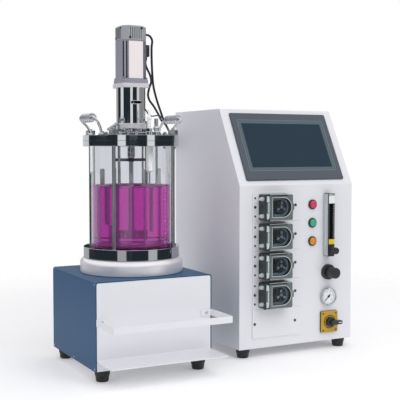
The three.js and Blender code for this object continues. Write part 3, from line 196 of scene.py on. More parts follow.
def make_materials(colours):
    """Every finish on the reactor, named for the real one; where a finish also carries painted shade or a
    painted highlight, its name says so.
    """
    blue, white = tuple(colours.blue), tuple(colours.white)
    made = MATERIALS
    # Powder coat on steel sheet: even colour, soft gloss, and the faint dimples of a baked powder.
    made["blue_coat"] = finish(
        "powder_coat_blue", blue, 0.45, 1.6, relief=0.012, mottle=0.05, spread=0.05,
        **{"Specular IOR Level": 0.25}
    )
    made["white_coat"] = finish("powder_coat_white", white, 0.4, 1.6, relief=0.012, mottle=0.015,
        spread=0.05)
    made["grey_coat"] = finish("powder_coat_grey", tuple(colours.grey), 0.42, 1.6, relief=0.012,
        mottle=0.02)
    # Polished stainless steel: a mirror, with slow waves left by the buffing wheel.
    made["mirror_steel"] = finish(
        "polished_stainless_steel", srgb("#cfd2d6"), 0.04, 45.0, relief=0.006, mottle=0.03, spread=0.02,
        Metallic=1.0
    )
    # Drawn steel wire and small turned steel parts: bright, with short drawing marks.
    made["bright_steel"] = finish(
        "drawn_stainless_steel", srgb("#c4c7cb"), 0.16, 3.0, relief=0.01, mottle=0.06, spread=0.06,
        Metallic=1.0
    )
    # Turned aluminium: fine rings from the lathe under a clear anodised skin.
    made["turned_aluminium"] = finish(
        "turned_anodised_aluminium",
        srgb("#f1eff3"),
        0.36,
        40.0,
        relief=0.04,
        mottle=0.03,
        spread=0.05,
        stretch=(1, 1, 60),
        Metallic=0.6,
    )
    # Blasted and anodised aluminium of the motor's extruded body: drawn out along its length.
    made["motor_shell"] = finish(
        "anodised_extruded_aluminium", srgb("#a9a9b6"), 0.4, 9.0, relief=0.02, mottle=0.04,
        stretch=(6, 6, 0.3), Metallic=0.55
    )
    # Die-cast zinc rear cap under grey paint: a coarse cast skin shows through.
    made["cast_cap"] = finish(
        "painted_die_cast_zinc", srgb("#a3a7ab"), 0.5, 2.6, relief=0.25, mottle=0.12, spread=0.08,
        stretch=(1.6, 1.6, 0.5), Metallic=0.25
    )
    # Paper label under a clear film, left blank.
    made["label"] = finish("blank_film_label", srgb("#efe6e6"), 0.35, 8.0, mottle=0.02)
    # Passivated steel inside the vessel and in the nuts: grey, with a soft sheen. Its grey is darker than the
    # polished steel's as painted shade, so the parts inside the glass look dark.
    made["passivated_steel_and_painted_shade"] = finish(
        "passivated_stainless_steel_darkened_as_shade", srgb("#b2b6ba"), 0.14, 12.0, relief=0.003, mottle=0.03, spread=0.03,
        Metallic=1.0
    )
    # Blackened steel of the module and switch screws and the foam breaker: dark, with a soft shine. On the
    # screws the dark is their own colour; on the foam breaker inside the vessel it is painted shade.
    made["dark_steel_and_painted_shade"] = finish("blackened_steel_and_painted_shade", srgb("#565b5f"), 0.32, 3.0, relief=0.01, mottle=0.1,
        Metallic=0.8)
    # Black of the motor cap's screws; the same black is painted shade on the walls of the motor's corner
    # grooves.
    made["black_screws_and_painted_groove_shade"] = finish("black_screws_and_painted_groove_shade", srgb("#1d2226"), 0.3, 3.0, relief=0.02, mottle=0.1)
    # Borosilicate glass: clear, faintly green, with the slow ripple of blown tube.
    made["glass"] = clear("borosilicate_glass", (0.985, 0.995, 0.99, 1.0), 1.3, ripple=0.02, grain=60.0)
    # Clear acrylic of the flowmeter, and smoked polycarbonate of the pump heads' covers: a slight haze.
    made["acrylic"] = clear("moulded_acrylic", (0.93, 0.955, 0.965, 1.0), 1.49, rough=0.03)
    made["smoked"] = clear("smoked_polycarbonate", (0.5, 0.56, 0.62, 1.0), 1.3, rough=0.04)
    # Frosted polycarbonate: grey, with light that soaks a little way in.
    made["frosted"] = finish("frosted_polycarbonate", srgb("#5d6867"), 0.26, 4.0, mottle=0.12, spread=0.08)
    # Glass-filled nylon of the pump heads: black with a green cast, and a soft moulded shine.
    made["pump_black"] = finish("glass_filled_black_nylon", srgb("#1e2a29"), 0.34, 1.0, relief=0.02,
        mottle=0.1, spread=0.08)
    # Silicone tube: milky, and lit a little from within.
    made["tube"] = finish(
        "silicone_tube", srgb("#dfe3e4"), 0.4, 5.0, mottle=0.04,
        **{"Transmission Weight": 0.35, "Subsurface Weight": 0.3}
    )
    # PTFE rod, and moulded white nylon: dense waxy whites. The white nylon also draws a painted highlight
    # along the flowmeter's left side.
    made["ptfe"] = finish("turned_ptfe", srgb("#fbfbfa"), 0.38, 6.0, relief=0.01, mottle=0.01)
    made["white_nylon_and_edge_highlight"] = finish("moulded_nylon_in_white_and_painted_highlight", srgb("#e4e8e6"), 0.4, 1.5, relief=0.01, mottle=0.03)
    # Natural nylon of the tube clips: milky grey, lit a little from within. It also draws the painted
    # highlight along the pump covers' outer edge.
    made["natural_nylon_and_edge_highlight"] = finish("natural_nylon_and_edge_highlight", srgb("#c4cccd"), 0.3, 2.0, mottle=0.1, spread=0.06)
    # Polished edge of a clear acrylic block: pale grey.
    made["acrylic_edge"] = finish("polished_acrylic_edge", srgb("#bec5c9"), 0.12, 6.0, mottle=0.1,
        **{"Coat Weight": 0.3})
    # Moulded ABS and nylon, black: a spark-eroded texture, dull in the hollows.
    made["black_abs"] = finish("moulded_black_abs", srgb("#24292b"), 0.36, 0.9, relief=0.03, mottle=0.12,
        spread=0.1)
    made["grey_abs"] = finish("moulded_grey_abs", srgb("#7f868b"), 0.42, 1.2, relief=0.02, mottle=0.05)
    made["bezel"] = finish("moulded_bezel_abs", srgb("#555b63"), 0.45, 0.9, relief=0.02, mottle=0.05,
        **{"Specular IOR Level": 0.15})
    made["bezel_light"] = finish("moulded_bezel_inner_frame", srgb("#56646b"), 0.4, 0.9, relief=0.015,
        mottle=0.04, **{"Specular IOR Level": 0.15})
    # Vulcanised rubber: almost black, matt, with a bloom of dust in its grain.
    made["rubber"] = finish("vulcanised_black_rubber", srgb("#131415"), 0.45, 1.1, relief=0.04, mottle=0.15,
        spread=0.1)
    made["cable"] = finish("pvc_cable_jacket", srgb("#1c1e24"), 0.38, 2.0, relief=0.02, mottle=0.1,
        spread=0.08)
    made["yellow"] = finish("moulded_yellow_nylon", srgb("#c2981d"), 0.38, 1.1, relief=0.015, mottle=0.04)
    made["mark_yellow"] = finish("printed_yellow_label", srgb("#dcc32a"), 0.4, 1.5, mottle=0.04)
    made["dial"] = finish("printed_white_dial", srgb("#eef0f1"), 0.5, 3.0, mottle=0.01)
    made["ink"] = finish("black_print", srgb("#1f2225"), 0.5, 2.0, mottle=0.05)
    made["white_ink"] = finish("white_ceramic_print", srgb("#f1eef2"), 0.6, 2.0, mottle=0.02)
    # Liquid crystal panel, switched off: a dark blue layer under flat glass.
    made["panel"] = finish(
        "unlit_display_glass", tuple(colours.screen), 0.2, 60.0, mottle=0.07, spread=0.02,
        **{"Specular IOR Level": 0.06}
    )
    for name, colour in (("red", colours.red), ("green", colours.green), ("amber", colours.amber)):
        # Tinted polycarbonate lens over an unlit diffuser: colour glows from within under a gloss skin.
        made["lens_" + name] = finish(
            "tinted_polycarbonate_" + name, tuple(colour), 0.22, 3.0, mottle=0.08,
            **{"Subsurface Weight": 0.3, "Coat Weight": 0.6}
        )
    made["medium"] = make_medium(tuple(colours.medium), colours.medium_strength)


def make_medium(colour, strength):
    """Culture medium: water that takes its colour over the depth seen through, so its edges look paler."""
    material = clear("culture_medium", (0.93, 0.28, 0.84, 1.0), 1.333)
    tree = material.node_tree
    # Cells and fine bubbles make it a little cloudy.
    skin = next(n for n in tree.nodes if n.type == "BSDF_PRINCIPLED")
    skin.inputs["Transmission Weight"].default_value = 0.9
    out = next(n for n in tree.nodes if n.type == "OUTPUT_MATERIAL")
    depth = add_node(tree, "ShaderNodeVolumeAbsorption", {"Color": colour, "Density": strength})
    tree.links.new(depth.outputs[0], out.inputs["Volume"])
    return material


# ---------------- bodies in millimetres

# A body is (points, faces). Shapes stand on Z, and PANEL turns one to stand out of a front face.

PANEL = Matrix.Rotation(math.radians(90), 4, "X")


def at(x=0.0, y=0.0, z=0.0):
    return Matrix.Translation((x, y, z))


def on_front(x, z, out=0.0):
    """Where a shape that stands on Z goes to stand out of the cabinet's front."""
    return at(x, FRONT - out, z) @ PANEL


SLOPE_ANGLE = math.atan2(LEAN, RISE)
SLOPE = at(CAB[0].x, FRONT, KNEE) @ Matrix.Rotation(-SLOPE_ANGLE, 4,
    "X") @ PANEL  # right, up the slope, out of it


def spin(angle, axis="Z"):
    return Matrix.Rotation(math.radians(angle), 4, axis)


def moved(body, *steps):
    points, faces = body
    matrix = Matrix()
    for step in steps:
        matrix = matrix @ step
    return [matrix @ Vector(p) for p in points], faces


def turned(profile, sides=64, start=0.0, end=360.0):
    """A profile of (radius, height) pairs turned about Z, closed on the axis or on itself."""
    whole = end - start >= 360
    rings = sides if whole else sides + 1
    points, faces, columns = [], [], []
    for r, z in profile:
        if abs(r) < 1e-9:
            columns.append([len(points)] * rings)
            points.append(Vector((0, 0, z)))
            continue
        first = len(points)
        columns.append(list(range(first, first + rings)))
        for i in range(rings):
            a = math.radians(start + (end - start) * i / sides)
            points.append(Vector((r * math.cos(a), r * math.sin(a), z)))
    for low, high in zip(columns, columns[1:]):
        for i in range(sides):
            j = (i + 1) % rings
            face = [low[i], low[j], high[j], high[i]]
            face = [p for k, p in enumerate(face) if p != face[k - 1]]
            if len(face) > 2:
                faces.append(face)
    if not whole:
        faces.append([c[0] for c in columns])
        faces.append([c[-1] for c in reversed(columns)])
    return points, faces


def rod(radius, low, high, sides=32, edge=0.0):
    e = edge
    rim = [(radius - e, low), (radius, low + e), (radius, high - e),
        (radius - e, high)] if e else [(radius, low), (radius, high)]
    return turned([(0, low), *rim, (0, high)], sides)


def arc(x, y, radius, start, end, steps=6):
    return [
        (
            x + radius * math.cos(math.radians(start + (end - start) * i / steps)),
            y + radius * math.sin(math.radians(start + (end - start) * i / steps)),
        )
        for i in range(steps + 1)
    ]


def rounded(width, height, radius, steps=5):
    """A rectangle's outline with round corners, about its middle."""
    x, y = width / 2 - radius, height / 2 - radius
    return (
        arc(x, y, radius, 0, 90, steps)
        + arc(-x, y, radius, 90, 180, steps)
        + arc(-x, -y, radius, 180, 270, steps)
        + arc(x, -y, radius, 270, 360, steps)
    )


def prism(outline, low, high, edge=0.0, edge_low=0.0):
    """An outline raised along Z, with its rims broken by a small chamfer."""
    rings = [(low, edge_low), (low + edge_low, 0.0)] if edge_low else [(low, 0.0)]
    rings += [(high - edge, 0.0), (high, edge)] if edge else [(high, 0.0)]
    n = len(outline)
    points = []
    for z, inset in rings:
        for k, (x, y) in enumerate(outline):
            before, after = Vector(outline[k - 1]), Vector(outline[(k + 1) % n])
            here = Vector((x, y))
            into, out = (here - before).normalized(), (after - here).normalized()
            normal = Vector((-(into.y + out.y), into.x + out.x))
            normal = normal.normalized() if normal.length > 1e-6 else Vector((-into.y, into.x))
            share = max(0.4, normal.dot(Vector((-into.y, into.x))))
            shift = normal * (inset / share)
            points.append(Vector((x + shift.x, y + shift.y, z)))
    faces = [list(reversed(range(n))), list(range(len(points) - n, len(points)))]
    for ring in range(len(rings) - 1):
        for k in range(n):
            a, b = ring * n + k, ring * n + (k + 1) % n
            faces.append([a, b, b + n, a + n])
    return points, faces


def block(x0, x1, y0, y1, z0, z1, edge=0.0):
    """A box with its upright edges rounded off and its rims broken."""
    outline = rounded(x1 - x0, y1 - y0, max(edge, 0.01), 2) if edge else [(x, y) for x, y in
        (((x1 - x0) / 2, -(y1 - y0) / 2), ((x1 - x0) / 2, (y1 - y0) / 2), (-(x1 - x0) / 2, (y1 - y0) / 2),
        (-(x1 - x0) / 2, -(y1 - y0) / 2))]
    return moved(prism(outline, z0, z1, edge * 0.7, edge * 0.7), at((x0 + x1) / 2, (y0 + y1) / 2))


def smooth_route(points, steps=12):
    """The curve through the points that the construction model's leads and handles follow."""
    points = [Vector(p) for p in points]
    ends = [2 * points[0] - points[1], *points, 2 * points[-1] - points[-2]]
    route = [points[0].copy()]
    for i in range(1, len(ends) - 2):
        p = ends[i - 1 : i + 3]
        d = [max((p[k + 1] - p[k]).length ** 0.5, 1e-4) for k in range(3)]
        t1 = ((p[1] - p[0]) / d[0] - (p[2] - p[0]) / (d[0] + d[1]) + (p[2] - p[1]) / d[1]) * d[1]
        t2 = ((p[2] - p[1]) / d[1] - (p[3] - p[1]) / (d[1] + d[2]) + (p[3] - p[2]) / d[2]) * d[1]
        a, b = 2 * p[1] - 2 * p[2] + t1 + t2, 3 * p[2] - 3 * p[1] - 2 * t1 - t2
        for k in range(1, steps + 1):
            s = k / steps
            route.append(p[1] + t1 * s + b * s * s + a * s**3)
    return route


def rounded_route(corners, bend, steps=8):
    """Straight runs with a round bend at each corner between them."""
    corners = [Vector(c) for c in corners]
    route = [corners[0]]
    for before, here, after in zip(corners, corners[1:], corners[2:]):
        into, out = (here - before).normalized(), (after - here).normalized()
        half = into.angle(out) / 2
        start = here - into * bend * math.tan(half)
        centre = here + (out - into).normalized() * bend / math.cos(half)
        axis = into.cross(out).normalized()
        for k in range(steps + 1):
            route.append(centre + Matrix.Rotation(2 * half * k / steps, 3, axis) @ (start - centre))
    return [*route, corners[-1]]


# ---------------- meshes and pieces


def mesh_of(name, *bodies, sharp=32.0):
    """A mesh in metres. Each body is a body, or (body, index of its material)."""
    sheet = bmesh.new()
    for item in bodies:
        body, index = item if isinstance(item[1], int) else (item, 0)
        points, faces = body
        made = [sheet.verts.new(Vector(p) * MM) for p in points]
        for face in faces:
            try:
                sheet.faces.new([made[i] for i in face]).material_index = index
            except ValueError:
                continue
    bmesh.ops.remove_doubles(sheet, verts=sheet.verts, dist=1e-7)
    bmesh.ops.recalc_face_normals(sheet, faces=sheet.faces)
    mesh = bpy.data.meshes.new(name)
    sheet.to_mesh(mesh)
    sheet.free()
    mesh.shade_smooth()
    mesh.set_sharp_from_angle(angle=math.radians(sharp))
    return mesh


# The colour slot that each finish stands for. show looks a piece's slot up here by its first finish, unless
# the piece names another, but keeps it nowhere.
SLOT_OF = {
    "white_coat": "white_enamel", "grey_coat": "grey_enamel", "blue_coat": "blue_enamel",
    "mirror_steel": "polished_steel", "bright_steel": "polished_steel", "passivated_steel_and_painted_shade": "polished_steel",
    "dark_steel_and_painted_shade": "polished_steel", "turned_aluminium": "satin_aluminium", "motor_shell": "motor_grey",
    "cast_cap": "motor_grey", "black_abs": "black_plastic", "ink": "black_plastic",
    "rubber": "black_rubber",
    "cable": "black_rubber", "yellow": "yellow_plastic", "ptfe": "ptfe", "glass": "clear_glass",
    "medium": "clear_glass", "white_ink": "clear_glass",
}


def show(name, mesh, materials, body="root", slot=None, replaces=()):
    """Makes a mesh a finished piece that rides on a body and stands for construction nodes."""
    piece = bpy.data.objects.new(name, mesh)
    bpy.context.scene.collection.objects.link(piece)
    kinds = [min(face.material_index, len(materials) - 1) for face in mesh.polygons]
    mesh.materials.clear()
    for material in materials:
        mesh.materials.append(MATERIALS[material])
    mesh.polygons.foreach_set("material_index", kinds)
    piece.modifiers.new("shading", "WEIGHTED_NORMAL").keep_sharp = True
    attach(piece, body)
    if replaces:
        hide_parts(*replaces)
    slot = slot or SLOT_OF[materials[0]]
    return piece


def soften(piece, width, segments=2, angle=40.0):
    """Breaks a piece's sharp edges, as pressing, moulding and coating do."""
    bevel = piece.modifiers.new("edges", "BEVEL")
    bevel.width, bevel.segments = width * MM, segments
    bevel.limit_method, bevel.angle_limit = "ANGLE", math.radians(angle)
    piece.modifiers.move(1, 0)
    return piece


def copy_of(node, name, sharp=35.0):
    """A construction node's own shape, its loose triangles merged and its flat faces dissolved."""
    sheet = bmesh.new()
    sheet.from_mesh(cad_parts[node].data)
    bmesh.ops.remove_doubles(sheet, verts=sheet.verts, dist=2e-6)
    bmesh.ops.dissolve_limit(sheet, angle_limit=math.radians(1), verts=sheet.verts, edges=sheet.edges)
    mesh = bpy.data.meshes.new(name)
    sheet.to_mesh(mesh)
    sheet.free()
    mesh.shade_smooth()
    mesh.set_sharp_from_angle(angle=math.radians(sharp))
    return mesh


def carved(name, base, *tools, sharp=32.0):
    """A body with other bodies or meshes cut out of it. A cut face keeps its tool's material index."""
    holders = []
    for part in (base, *tools):
        mesh = part if isinstance(part, bpy.types.Mesh) else mesh_of(name, part)
        for _ in range(6):
            mesh.materials.append(None)
        holders.append(bpy.data.objects.new(name, mesh))
        bpy.context.scene.collection.objects.link(holders[-1])
    kept = holders[0]
    for tool in holders[1:]:
        cut = kept.modifiers.new("cut", "BOOLEAN")
        cut.object, cut.operation, cut.solver = tool, "DIFFERENCE", "EXACT"
    mesh = bpy.data.meshes.new_from_object(kept.evaluated_get(bpy.context.evaluated_depsgraph_get()))
    for gone in holders:
        bpy.data.objects.remove(gone)
    mesh.shade_smooth()
    mesh.set_sharp_from_angle(angle=math.radians(sharp))
    return mesh


def joined(name, *meshes, sharp=32.0):
    """Several meshes in one, keeping each face's material index."""
    sheet = bmesh.new()
    for mesh in meshes:
        sheet.from_mesh(mesh)
    made = bpy.data.meshes.new(name)
    sheet.to_mesh(made)
    sheet.free()
    made.shade_smooth()
    made.set_sharp_from_angle(angle=math.radians(sharp))
    return made


def indexed(mesh, index):
    for face in mesh.polygons:
        face.material_index = index
    return mesh


# ---------------- geometry nodes


def new_tree(name, inputs):
    """A geometry node tree that takes a geometry and named inputs, and gives a geometry."""
    tree = bpy.data.node_groups.new(name, "GeometryNodeTree")
    tree.interface.new_socket("Geometry", in_out="INPUT", socket_type="NodeSocketGeometry")
    tree.interface.new_socket("Geometry", in_out="OUTPUT", socket_type="NodeSocketGeometry")
    for label, kind in inputs:
        tree.interface.new_socket(label, in_out="INPUT", socket_type=kind)
    return tree, add_node(tree, "NodeGroupInput").outputs, add_node(tree, "NodeGroupOutput").inputs


def close_tree(tree, geometry, given, result):
    """Ends a tree: real geometry, in its own material."""
    real = add_node(tree, "GeometryNodeRealizeInstances", {"Geometry": geometry})
    coated = add_node(tree, "GeometryNodeSetMaterial", {"Geometry": real.outputs[0],
        "Material": given["Material"]})
    tree.links.new(coated.outputs[0], result["Geometry"])


def make_trees():
    """The three rules that like parts follow: copies on points, a pipe along a line, and a wound coil."""
    real, material = "NodeSocketFloat", ("Material", "NodeSocketMaterial")
    tree, given, result = new_tree("copies_on_points", [("Shape", "NodeSocketObject"), ("Size", real),
        material])
    shape = add_node(tree, "GeometryNodeObjectInfo", {"Object": given["Shape"]})
    turn = add_node(tree, "GeometryNodeInputNamedAttribute", {"Name": "turn"}, data_type="FLOAT_VECTOR")
    facing = add_node(tree, "FunctionNodeEulerToRotation", {0: turn.outputs[0]})
    spread = {"Points": given["Geometry"], "Instance": shape.outputs["Geometry"],
        "Rotation": facing.outputs[0]}
    put = add_node(tree, "GeometryNodeInstanceOnPoints", {**spread, "Scale": given["Size"]})
    close_tree(tree, put.outputs[0], given, result)

    tree, given, result = new_tree("pipe_along_line", [("Radius", real), ("Sides", "NodeSocketInt"),
        material])
    line = add_node(tree, "GeometryNodeMeshToCurve", {0: given["Geometry"]}).outputs[0]
    section = add_node(tree, "GeometryNodeCurvePrimitiveCircle",
        {"Resolution": given["Sides"], "Radius": given["Radius"]})
    drawn = {"Curve": line, "Profile Curve": section.outputs[0], "Fill Caps": True}
    close_tree(tree, add_node(tree, "GeometryNodeCurveToMesh", drawn).outputs[0], given, result)

    sizes_in = [(label, real) for label in ("Turns", "Radius", "Length", "Wire")]
    tree, given, result = new_tree("wound_coil", [*sizes_in, material])
    shape = {"Resolution": 28, "Rotations": given["Turns"], "Start Radius": given["Radius"],
        "End Radius": given["Radius"]}
    spiral = add_node(tree, "GeometryNodeCurveSpiral", {**shape, "Height": given["Length"]}).outputs[0]
    section = add_node(tree, "GeometryNodeCurvePrimitiveCircle",
        {"Resolution": 10, "Radius": given["Wire"]})
    drawn = {"Curve": spiral, "Profile Curve": section.outputs[0], "Fill Caps": True}
    wound = add_node(tree, "GeometryNodeCurveToMesh", drawn).outputs[0]
    half = add_node(tree, "ShaderNodeMath", {0: given["Length"], 1: 0.5}, operation="MULTIPLY").outputs[0]
    back = add_node(tree, "ShaderNodeCombineXYZ", {"Y": half}).outputs[0]
    lay = {"Geometry": wound, "Rotation": (math.radians(90), 0, 0), "Translation": back}
    laid = add_node(tree, "GeometryNodeTransform", lay).outputs[0]
    put = add_node(tree, "GeometryNodeInstanceOnPoints", {"Points": given["Geometry"], "Instance": laid})
    close_tree(tree, put.outputs[0], given, result)


def grown(name, tree, points, turns=None, line=False, **inputs):
    """Runs a tree on points, in millimetres, bare or joined in a line, and returns a plain mesh."""
    seeds = bpy.data.meshes.new(name)
    seeds.from_pydata([Vector(p) * MM for p in points], [(i,
        i + 1) for i in range(len(points) - 1)] if line else [], [])
    facing = seeds.attributes.new("turn", "FLOAT_VECTOR", "POINT")
    for i, turn in enumerate(turns or [(0, 0, 0)] * len(points)):
        facing.data[i].vector = [math.radians(a) for a in turn]
    holder = bpy.data.objects.new(name, seeds)
    bpy.context.scene.collection.objects.link(holder)
    modifier = holder.modifiers.new("grow", "NODES")
    modifier.node_group = bpy.data.node_groups[tree]
    for item in modifier.node_group.interface.items_tree:
        if item.in_out == "INPUT" and item.name in inputs:
            modifier[item.identifier] = inputs[item.name]
    mesh = bpy.data.meshes.new_from_object(holder.evaluated_get(bpy.context.evaluated_depsgraph_get()))
    bpy.data.objects.remove(holder)
    mesh.name = name
    mesh.shade_smooth()
    mesh.set_sharp_from_angle(angle=math.radians(40))
    return mesh


def copies(name, shape, points, turns=None, material="bright_steel", size=1.0):
    """A copy of a body on every point, as one plain mesh."""
    source = bpy.data.objects.new(name, mesh_of(name, *(shape if isinstance(shape, list) else [shape])))
    bpy.context.scene.collection.objects.link(source)
    mesh = grown(name, "copies_on_points", points, turns, Shape=source, Size=size,
        Material=MATERIALS[material])
    bpy.data.objects.remove(source)
    return mesh


def piped(name, route, radius, sides=16, place=None):
    """A round section carried along a route."""
    points = [(place or Matrix()) @ Vector(p) for p in route]
    return grown(name, "pipe_along_line", points, line=True, Radius=radius * MM, Sides=sides,
        Material=MATERIALS["bright_steel"])


def placed(mesh, name, *steps):
    """A copy of a mesh, moved to its place."""
    copy, matrix = mesh.copy(), Matrix()
    for step in steps:
        matrix = matrix @ step
    matrix.translation *= MM
    copy.name = name
    copy.transform(matrix)
    return copy


def loop(radius, z, wire, sides=64):
    """A round ring of wire about Z."""
    return turned([(radius + x, z + y) for x, y in arc(0, 0, wire, 0, 360, 10)], sides)


OUTWARD = (90, 0, 0)  # turns a shape that stands on Z to stand out of a front face


def screw(radius, height=1.2, slot=0.9):
    """A pan head with a recess, standing on Z."""
    r = radius
    profile = [(0, -0.6), (r * 0.9, -0.6), (r, 0), (r, height * 0.35), (r * 0.8, height * 0.85),
        (r * 0.5, height), (r * 0.42, height - slot * 0.4), (0, height - slot)]
    return turned(profile, 20)


def fixed(points, radius, height=1.2, turn=OUTWARD, material="bright_steel", name="screws"):
    """Screws of one size, standing out of a face."""
    return copies(name, screw(radius, height), points, [turn] * len(points), material)


def folded(points, thickness=2.0, inside=3.0, steps=5):
    """The outline of a sheet folded along a line of points. The sheet lies on the left of the line."""
    near, far = [], []
    line = [Vector(p) for p in points]
    for i, p in enumerate(line):
        before = (p - line[i - 1]).normalized() if i else None
        after = (line[i + 1] - p).normalized() if i < len(line) - 1 else None
        if not before or not after:
            d = after or before
            near.append(p)
            far.append(p + Vector((-d.y, d.x)) * thickness)
            continue
        turn = math.atan2(before.x * after.y - before.y * after.x, before.dot(after))
        side = 1 if turn > 0 else -1
        radius = inside + thickness if side > 0 else inside
        start = p - before * radius * math.tan(abs(turn) / 2)
        centre = start + Vector((-before.y, before.x)) * side * radius
        for k in range(steps + 1):
            arm = Matrix.Rotation(turn * k / steps, 2) @ (start - centre)
            near.append(centre + arm)
            far.append(centre + arm * (1 - side * thickness / radius))
    return [(p.x, p.y) for p in near + far[::-1]]


ALONG_X = Matrix(((0, 0, 1, 0), (1, 0, 0, 0), (0, 1, 0, 0), (0, 0, 0,
    1)))  # an outline in Y and Z, raised along X


def stacked(rings, steps=5):
    """Rounded rectangles (width, height, radius, height on Z, shift along Y) joined one to the next."""
    points, faces, n = [], [], 4 * (steps + 1)
    for width, height, radius, z, shift in rings:
        points += [Vector((x, y + shift, z)) for x, y in rounded(width, height, radius, steps)]
    for ring in range(len(rings) - 1):
        for k in range(n):
            a, b = ring * n + k, ring * n + (k + 1) % n
            faces.append([a, b, b + n, a + n])
    faces.append(list(reversed(range(n))))
    faces.append(list(range(len(points) - n, len(points))))
    return points, faces


def numerals(words, size, depth=0.12):
    """Upright numbers as flat bodies standing on Z, one for each (text, x, y)."""
    made = []
    for text, x, y in words:
        curve = bpy.data.curves.new("numeral", "FONT")
        curve.body, curve.size, curve.align_x, curve.align_y = text, size, "CENTER", "CENTER"
        curve.extrude, curve.resolution_u = depth / 2, 3
        holder = bpy.data.objects.new("numeral", curve)
        bpy.context.scene.collection.objects.link(holder)
        mesh = bpy.data.meshes.new_from_object(holder.evaluated_get(bpy.context.evaluated_depsgraph_get()))
        made.append(([v.co + Vector((x, y, depth / 2)) for v in mesh.vertices],
            [list(f.vertices) for f in mesh.polygons]))
        bpy.data.objects.remove(holder)
    return made


def hexagon(across, low, high, edge=0.8):
    """A nut or bolt head with its corners chamfered."""
    r = across / math.sqrt(3)
    return turned([(0, low), (r - edge, low), (r, low + edge * 0.6), (r, high - edge * 0.6),
        (r - edge, high), (0, high)], 6)


# ---------------- sizes and colours a user would change


def colour_property(label, text, default):
    """The property for a colour, given as sRGB hex."""
    return FloatVectorProperty(name=label, description=text, subtype="COLOR", size=4, min=0, max=1,
        default=srgb(default))


def length_property(label, text, default, low, high):
    """The property for a length in metres."""
    return FloatProperty(name=label, description=text, default=default, min=low, max=high, unit="LENGTH")


class BioreactorColours(bpy.types.PropertyGroup):
    """Colours of the reactor's finishes."""

    blue: colour_property("Stand cover", "Powder coat of the stand's cover", "#1b4d74")
    white: colour_property("Panels", "Powder coat of the cabinet and the white sheets", "#e2e3e7")
    grey: colour_property("Rear sheets", "Powder coat of the cabinet's rear wall", "#b9b9c2")
    screen: colour_property("Screen", "The display while it is off", "#2b3947")
    red: colour_property("Red lamp", "Lens of the top lamp", "#d0305a")
    green: colour_property("Green lamp", "Lens of the middle lamp", "#3aa27f")
    amber: colour_property("Amber lamp", "Lens of the bottom lamp", "#e08a1a")
    medium: colour_property("Medium", "Colour of the culture medium in depth", "#e12bd2")
    medium_strength: FloatProperty(
        name="Medium strength", description="How quickly the medium takes its colour with depth",
        default=16.0, min=0.0, max=200.0
    )


class BioreactorSizes(bpy.types.PropertyGroup):
    """Sizes of the reactor's details."""

    medium_level: length_property("Medium level", "Height of the medium's surface over the bench", 0.401,
        0.27, 0.48)
    sheet_edge: length_property("Sheet edge", "Radius of the coated edges of folded sheet", 0.0005, 0.0001,
        0.001)
    coil_turns: IntProperty(name="Handle coil turns", description="Turns of wire on each lifting handle",
        default=5, min=3, max=14)
    coil_wire: length_property("Handle coil wire", "Radius of the wire wound on the handles", 0.0018,
        0.0008, 0.0024)


class BioreactorStage(bpy.types.PropertyGroup):
    """The floor, the lights and the camera."""

    floor_radius: length_property("Floor radius", "Where the pale floor has faded out", 1.6, 0.8, 4.0)
    key_power: FloatProperty(name="Key light", description="Power of the large soft light", default=26.0,
        min=0.0, max=500.0, unit="POWER")
    dome: FloatProperty(name="Dome light", description="Strength of the soft light all round", default=0.58,
        min=0.0, max=4.0)
    focal_length: FloatProperty(
        name="Focal length", description="Of the camera's lens", default=78.53, min=20, max=300,
        unit="CAMERA"
    )


def sizes():
    return bpy.context.scene.bioreactor_sizes


# ---------------- stage

CAMERA_AT = Vector((-0.96676, -1.80762, 0.47945))
CAMERA_TURN = (math.radians(86.72), 0.0, math.radians(-27.60))
VIEW_RIGHT, VIEW_AHEAD = Vector((0.886, -0.463, 0.0)), Vector((0.463, 0.886, 0.0))

# Upright white and grey strips round the studio, for polished steel to mirror: the degrees right of
# the camera's side that each starts and ends at, the height in degrees it starts and ends at, and how
# bright it is. The lowest belt shows in the seat, the middle one in the lid, and the top one in the
# bearing housing.
STRIPS = [
    (-27, -8, -1.5, 1.3, 1.0),
    (43, 62, -1.5, 1.3, 1.0),
    (-165, -115, -1.5, 1.3, 0.8),
    (-84, -57, 1.3, 6.5, 1.0),
    (0, 19, 1.3, 6.5, 1.0),
    (53, 75, 1.3, 6.5, 0.9),
    (75, 143, 1.3, 6.5, 0.35),
    (-150, -118, 1.3, 6.5, 0.5),
    (-29, -8, -14.0, -6.1, 0.5),
    (45, 68, -14.0, -6.1, 0.6),
    (-175, -118, -14.0, -6.1, 0.5),
    (-28, 6, -6.1, -1.5, 0.9),
    (50, 82, -6.1, -1.5, 0.7),
    (-150, -95, -6.1, -1.5, 0.6),
    (100, 150, -6.1, -1.5, 0.5),
]


